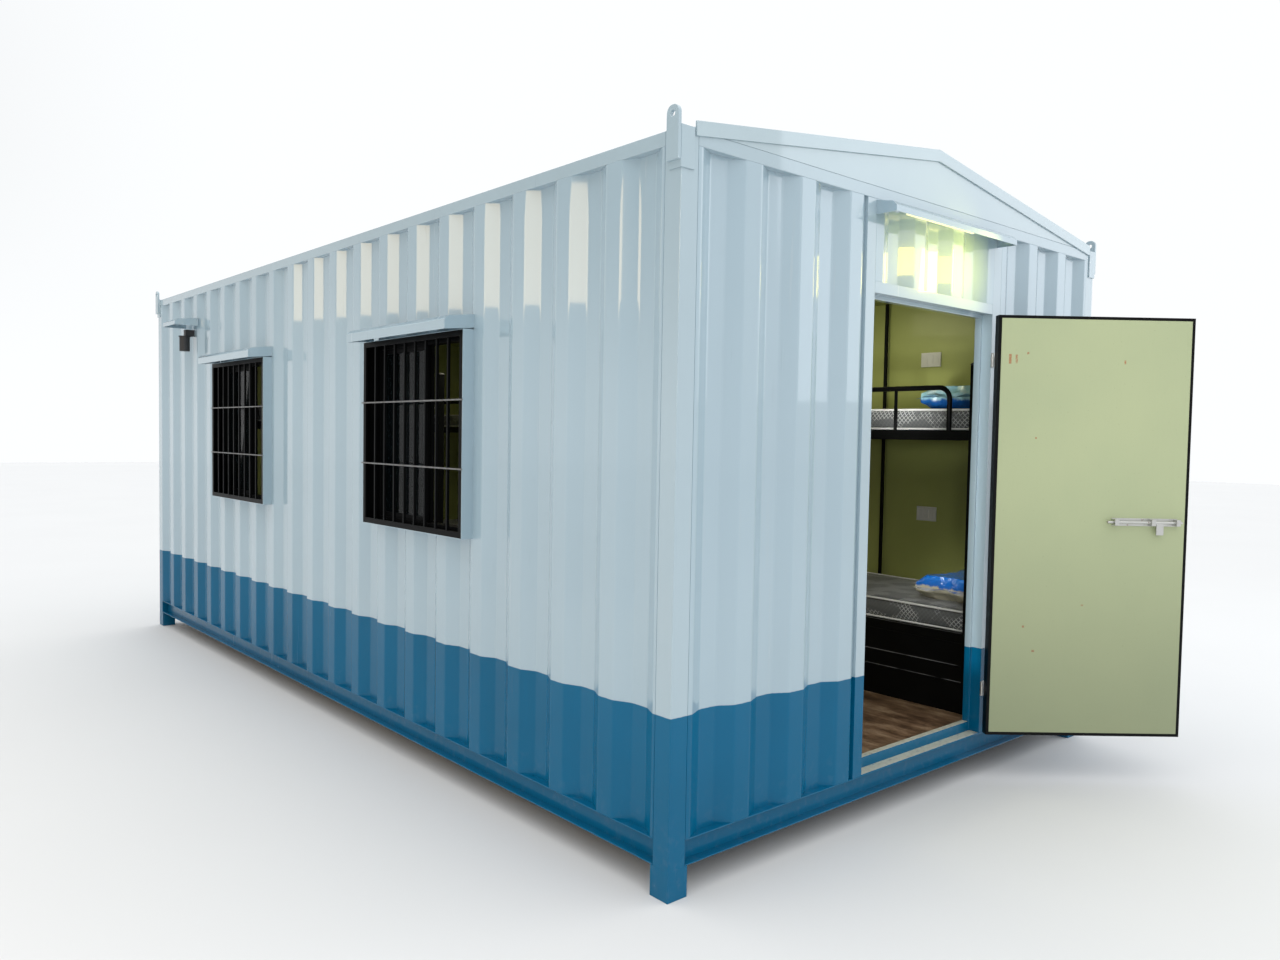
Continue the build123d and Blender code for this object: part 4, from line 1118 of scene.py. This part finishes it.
@dataclass
class Bedding:
    """Quilted mattresses with piping, and pillows in film bags."""

    tick_voxel: float = 0.022
    bag_voxel: float = 0.012
    mattress_inset: float = 0.007
    crown: float = 0.004
    rim: float = 0.020
    pipe: float = 0.0055
    corner: float = 0.05
    sag: float = 0.004
    sag_waves: float = 1.6
    bulge: float = 0.003
    bulge_waves: float = 2.3
    bag_inset: float = 0.02
    bag_start: float = 0.052
    seal: float = 0.022
    seal_overlap: float = 0.02
    seal_wave: tuple[float, float] = (0.006, 31.0)
    crumple: tuple[float, float] = (0.055, 0.016)
    tick_pressure: float = 4.0
    bag_pressure: float = 8.0
    bag_swell: float = 0.05
    frames: int = 20

    def build(self) -> None:
        """Makes one mattress, its piping and one pillow, and copies them to their places."""
        beds, bags = solids("mattresses"), solids("pillows")
        mattress, piping = self.mattress(beds[0][1] - beds[0][0])
        pillow = self.pillow(bags[0][1] - bags[0][0])
        for number, (low, high) in enumerate(beds, 1):
            turn = self.spot(low, high, number)
            made = Bench.copy(mattress, f"mattress_{number}", turn)
            Bench.place(made, CABIN, Finish.TICKING, "mattresses")
            Bench.place(Bench.copy(piping, f"mattress_{number}_piping", turn), CABIN, Finish.PIPING)
        top = max(high.z for low, high in bags)
        for number, (low, high) in enumerate(bags, 1):
            made = Bench.copy(pillow, f"pillow_{number}", self.spot(low, high, number))
            Bench.place(made, CABIN, Finish.BAG_UPPER if high.z > top - 0.1 else Finish.BAG_LOWER, "pillows")
        for master in (mattress, piping, pillow):
            bpy.data.objects.remove(master)

    @staticmethod
    def spot(low: Vector, high: Vector, number: int) -> Matrix:
        """The move from the middle of the scene to a solid's place, turned about for every second one."""
        return Matrix.Translation((low + high) / 2) @ Matrix.Rotation(math.pi * (number % 2), 4, "Z")

    def mattress(self, size: Vector) -> tuple[bpy.types.Object, bpy.types.Object]:
        """Swells a mattress between its two sewn rims, and lays piping along them.

        Args:
            size: the space that the mattress fills.

        Returns:
            The mattress and its piping.
        """
        half = size / 2 - Vector((self.mattress_inset, self.mattress_inset, self.crown))
        floor = self.crown - 0.001
        piece = Bench.box("mattress_master", tuple(-half - Vector((0, 0, floor))), tuple(half))
        Bench.subdivide(piece, 6)
        Bench.modify(piece, "REMESH", mode="VOXEL", voxel_size=self.tick_voxel)
        sewn = []
        for vert in piece.data.vertices:
            off = Vector((half.x - abs(vert.co.x), half.y - abs(vert.co.y), 0.0))
            off.z = min(half.z - vert.co.z, vert.co.z + half.z + floor)
            if off.z < self.rim and min(off.x, off.y) < self.rim:
                sewn.append(vert.index)
        self.swell(piece, self.tick_pressure, self.mattress_inset, sewn)
        self.settle_in(piece, size)
        self.sway(piece, size)
        rims = [self.piping(half, half.z - 0.004), self.piping(half, -half.z - floor + 0.006)]
        piping = Bench.join(rims, "piping_master")
        self.sway(piping, size)
        return piece, piping

    def piping(self, half: Vector, height: float) -> bpy.types.Object:
        """Bends one round of piping along a mattress rim.

        Args:
            half: half of the mattress's length, width and height.
            height: where the piping runs.

        Returns:
            The piping.
        """
        Bench.clear()
        bpy.ops.mesh.primitive_plane_add(size=2.0)
        ring = bpy.context.object
        ring.scale = (half.x, half.y, 1.0)
        Bench.settle(ring)
        Bench.edit(ring, "VERT")
        bpy.ops.mesh.select_all(action="SELECT")
        bpy.ops.mesh.bevel(offset=self.corner * 0.4, segments=5, affect="VERTICES")
        bpy.ops.mesh.delete(type="ONLY_FACE")
        bpy.ops.mesh.select_all(action="SELECT")
        bpy.ops.mesh.subdivide(number_cuts=12)
        bpy.ops.transform.translate(value=(0.0, 0.0, height))
        Bench.close(ring)
        Bench.pick(ring)
        bpy.ops.object.convert(target="CURVE")
        bent = bpy.context.object
        bent.data.bevel_depth = self.pipe
        bent.data.bevel_resolution = 2
        bpy.ops.object.convert(target="MESH")
        tube = bpy.context.object
        Bench.smooth(tube, 80.0)
        return tube

    def pillow(self, size: Vector) -> bpy.types.Object:
        """Blows up a flat bag into a pillow, with a flat sealed edge at both ends.

        Args:
            size: the space that the pillow fills.

        Returns:
            The pillow.
        """
        half = Vector((size.x / 2 - self.bag_inset, size.y / 2 - self.bag_inset * 0.6, self.bag_start / 2))
        piece = Bench.box("pillow_master", tuple(-half), tuple(half))
        Bench.subdivide(piece, 4)
        Bench.modify(piece, "REMESH", mode="VOXEL", voxel_size=self.bag_voxel)
        self.swell(piece, self.bag_pressure, self.bag_swell, [])
        film = bpy.data.textures.new("film crumple", "CLOUDS")
        film.noise_scale, height = self.crumple
        film.noise_depth = 2
        Bench.modify(piece, "DISPLACE", texture=film, strength=height, mid_level=0.5, texture_coords="LOCAL")
        self.seals(piece, half)
        self.settle_in(piece, size)
        return piece

    def seals(self, piece: bpy.types.Object, half: Vector) -> None:
        """Adds the flat wavy film edges at a pillow's two ends.

        Args:
            piece: the pillow, which they are joined to.
            half: half of the size that it was blown up from.
        """
        strips, root, wide, thick = [piece], half.x - self.seal_overlap, half.y * 0.86, 0.0008
        for side in (-1, 1):
            reach = sorted((side * root, side * (half.x + self.seal)))
            strip = Bench.box("seal", (reach[0], -wide, -thick), (reach[1], wide, thick))
            Bench.subdivide(strip, 10)
            for vert in strip.data.vertices:
                wave = self.seal_wave[0] * math.sin(vert.co.y * self.seal_wave[1] + side)
                vert.co.z += wave * (abs(vert.co.x) - root) / self.seal
            Bench.smooth(strip, 60.0)
            strips.append(strip)
        Bench.join(strips, piece.name)

    def swell(self, piece: bpy.types.Object, pressure: float, cap: float, sewn: list[int]) -> None:
        """Blows up a closed form as padded cloth.

        Args:
            piece: the remeshed form.
            pressure: the pressure inside.
            cap: the furthest that a point may move.
            sewn: the points that stay where they are.
        """
        mesh = piece.data
        start = np.empty(len(mesh.vertices) * 3)
        mesh.vertices.foreach_get("co", start)
        held = piece.vertex_groups.new(name="sewn")
        held.add(sewn, 1.0, "REPLACE")
        Bench.pick(piece)
        cloth = piece.modifiers.new("padding", "CLOTH")
        cloth.settings.use_pressure = True
        cloth.settings.uniform_pressure_force = pressure
        cloth.settings.effector_weights.gravity = 0.0
        if sewn:
            cloth.settings.vertex_group_mass = held.name
        cloth.point_cache.frame_end = self.frames
        for step in range(1, self.frames + 1):
            bpy.context.scene.frame_set(step)
        bpy.ops.object.modifier_apply(modifier=cloth.name)
        bpy.context.scene.frame_set(1)
        piece.vertex_groups.clear()
        end = np.empty_like(start)
        mesh.vertices.foreach_get("co", end)
        move = (end - start).reshape(-1, 3)
        far = np.linalg.norm(move, axis=1, keepdims=True)
        end = start.reshape(-1, 3) + move * np.minimum(1.0, cap / np.maximum(far, 1e-9))
        mesh.vertices.foreach_set("co", end.ravel())
        mesh.update()
        LOG.info("%s: moved %.1f mm at most", piece.name, far.max() * 1000)
        Bench.modify(piece, "SUBSURF", levels=1, render_levels=1)
        Bench.smooth(piece, 80.0)

    @staticmethod
    def settle_in(piece: bpy.types.Object, size: Vector) -> None:
        """Keeps a soft piece in the space of its solid, flat where it lies on its support."""
        for vert in piece.data.vertices:
            for axis in range(3):
                vert.co[axis] = max(-size[axis] / 2, min(size[axis] / 2, vert.co[axis]))

    def sway(self, piece: bpy.types.Object, size: Vector) -> None:
        """Gives a mattress the easy waves of a used one, with its underside kept flat."""
        for vert in piece.data.vertices:
            along, across = vert.co.y / size.y, vert.co.x / size.x
            lift = max(0.0, vert.co.z / size.z + 0.5)
            dip = self.sag * (0.5 + 0.5 * math.cos(math.tau * along * self.sag_waves + across * 2.0))
            vert.co.z -= lift * dip
            bulge = self.bulge * math.sin(math.tau * along * self.bulge_waves)
            vert.co.x -= lift * bulge * (1.0 if across > 0 else -1.0)


@dataclass(frozen=True)
class Panel:
    """A soft light panel, with its power in watts and the angle that its light keeps to in degrees."""

    name: str
    place: Point
    aim: Point
    size: tuple[float, float]
    power: float
    colour: Colour
    spread: float = 180.0

    def hang(self) -> None:
        """Adds the light."""
        Bench.clear()
        bpy.ops.object.light_add(type="AREA", location=self.place)
        lamp = bpy.context.object
        lamp.name = f"{self.name}_light"
        lamp.data.shape = "RECTANGLE"
        lamp.data.size, lamp.data.size_y = self.size
        lamp.data.energy = self.power
        lamp.data.color = self.colour
        lamp.data.spread = math.radians(self.spread)
        lamp.rotation_euler = (Vector(self.aim) - Vector(self.place)).to_track_quat("-Z", "Y").to_euler()


WHITE: Colour = (1.0, 1.0, 0.98)
PANELS = (
    Panel("key", (-5.5, -9.0, 6.5), (0.0, -1.0, 1.2), (6.0, 6.0), 45.0, (1.0, 0.98, 0.95)),
    Panel("porch", (-7.0, -0.2, 3.4), (-1.5, -0.2, 2.7), (5.0, 1.1), 44.0, (1.0, 0.76, 0.44)),
    Panel("strip", (-5.4, -6.6, 2.9), (-1.0, -2.7, 1.9), (0.3, 2.2), 32.0, (1.0, 0.99, 0.97)),
    Panel("right", (7.0, -7.0, 4.0), (0.5, -2.7, 1.2), (4.0, 4.0), 45.0, (0.86, 0.92, 1.0)),
    Panel("room", (0.2, 0.2, 2.40), (0.2, 0.2, 0.0), (1.2, 1.2), 16.5, (1.0, 0.94, 0.70)),
    Panel("bunk", (0.80, -1.55, 2.43), (1.1, -1.75, 1.6), (0.5, 0.5), 3.8, (1.0, 0.97, 0.66)),
    Panel("doorway", (-0.25, -2.55, 1.66), (1.1, -1.95, 1.90), (0.1, 0.1), 0.42, WHITE, 36.0),
    Panel("bed", (0.30, -2.45, 1.50), (1.02, -2.24, 0.80), (0.2, 0.2), 0.42, WHITE, 50.0),
    Panel("jamb", (-0.38, -2.67, 1.34), (0.48, -2.69, 1.34), (0.03, 1.66), 0.2, (1.0, 1.0, 1.0), 9.0),
    Panel("glint", (0.32, -2.93, 2.40), (0.20, -2.727, 2.37), (0.15, 0.20), 0.8, (1.0, 0.86, 0.14), 130.0),
    Panel("hood", (0.0, -2.97, 2.40), (0.0, -2.727, 2.37), (0.55, 0.12), 0.48, (1.0, 0.80, 0.05), 90.0),
)


@dataclass
class Studio:
    """Pale floor, soft light and the camera of the photograph."""

    lens: float = 27.17
    sensor: float = 36.0
    eye: Point = (-3.740, -5.0803, 1.592)
    pitch: float = math.radians(-2.568)
    roll: float = math.radians(0.919)
    yaw: float = math.radians(-41.171)
    sky_colour: Colour = (0.97, 0.988, 1.0)
    sky_light: tuple[float, float] = (1.02, 1.7)
    zenith: tuple[float, float] = (0.4, 1.0)
    sky_dim: float = 0.68
    dim_side: tuple[float, float] = (-0.85, 0.35)
    dim_rise: tuple[float, float] = (0.0, 0.25)
    dim_fall: tuple[float, float] = (0.25, 0.7)
    floor_size: float = 90.0
    floor_greys: tuple[float, float] = (0.74, 0.71)

    def build(self) -> None:
        """Adds the floor, lights and camera."""
        self.floor()
        self.sky()
        for panel in PANELS:
            panel.hang()
        self.camera()

    def floor(self) -> None:
        """A pale floor that isn't part of the cabin."""
        Bench.clear()
        bpy.ops.mesh.primitive_plane_add(size=self.floor_size)
        ground = bpy.context.object
        ground.name = "studio_floor"
        pale = Shader("studio floor")
        cloud = pale.noise(pale.place(), 0.6, 2.0)
        colour = pale.mix(cloud, *((grey, grey, grey) for grey in self.floor_greys))
        ground.data.materials.append(pale.dress(Base_Color=colour, Roughness=0.8))

    def sky(self) -> None:
        """A pale surround, brighter overhead and dimmer near the ground on the side that the near wall faces."""
        world = bpy.data.worlds.new("studio surround")
        world.use_nodes = True
        surround = Graph(world.node_tree)
        across, _, up = surround.axes(surround.place("Generated"))
        dim = across.step(*self.dim_side, self.sky_dim, 0.0) * up.step(*self.dim_rise)
        strength = up.step(*self.zenith, *self.sky_light) - dim * up.step(*self.dim_fall, 1.0, 0.0)
        back = surround.tree.nodes["Background"]
        back.inputs["Color"].default_value = (*self.sky_colour, 1.0)
        surround.tree.links.new(strength.socket, back.inputs["Strength"])
        bpy.context.scene.world = world
        bpy.context.scene.view_settings.view_transform = "Standard"

    def camera(self) -> None:
        """Stands the camera where the photograph was taken."""
        turns = ((self.roll, "Y"), (self.pitch, "X"), (self.yaw, "Z"))
        roll, pitch, yaw = (Matrix.Rotation(angle, 3, axis) for angle, axis in turns)
        right, ahead, up = (roll @ pitch @ yaw).col
        view = Matrix((right, up, -ahead)).transposed().to_4x4()
        view.translation = self.eye
        Bench.clear()
        bpy.ops.object.camera_add()
        camera = bpy.context.object
        camera.name = "photo_camera"
        camera.data.sensor_width = self.sensor
        camera.data.sensor_fit = "HORIZONTAL"
        camera.data.lens = self.lens
        camera.data.clip_end = 200.0
        camera.matrix_world = view
        bpy.context.scene.camera = camera


def main() -> None:
    """Builds each part of the dressed cabin in order."""
    logging.basicConfig(level=logging.INFO, format="%(name)s: %(message)s")
    for part in (Studio(), Steelwork(), Room(), Sockets(), Windows(), Doorway(), Bunks(), Bedding()):
        part.build()
        LOG.info("%s done", type(part).__name__)


if __name__ == "__main__":
    main()
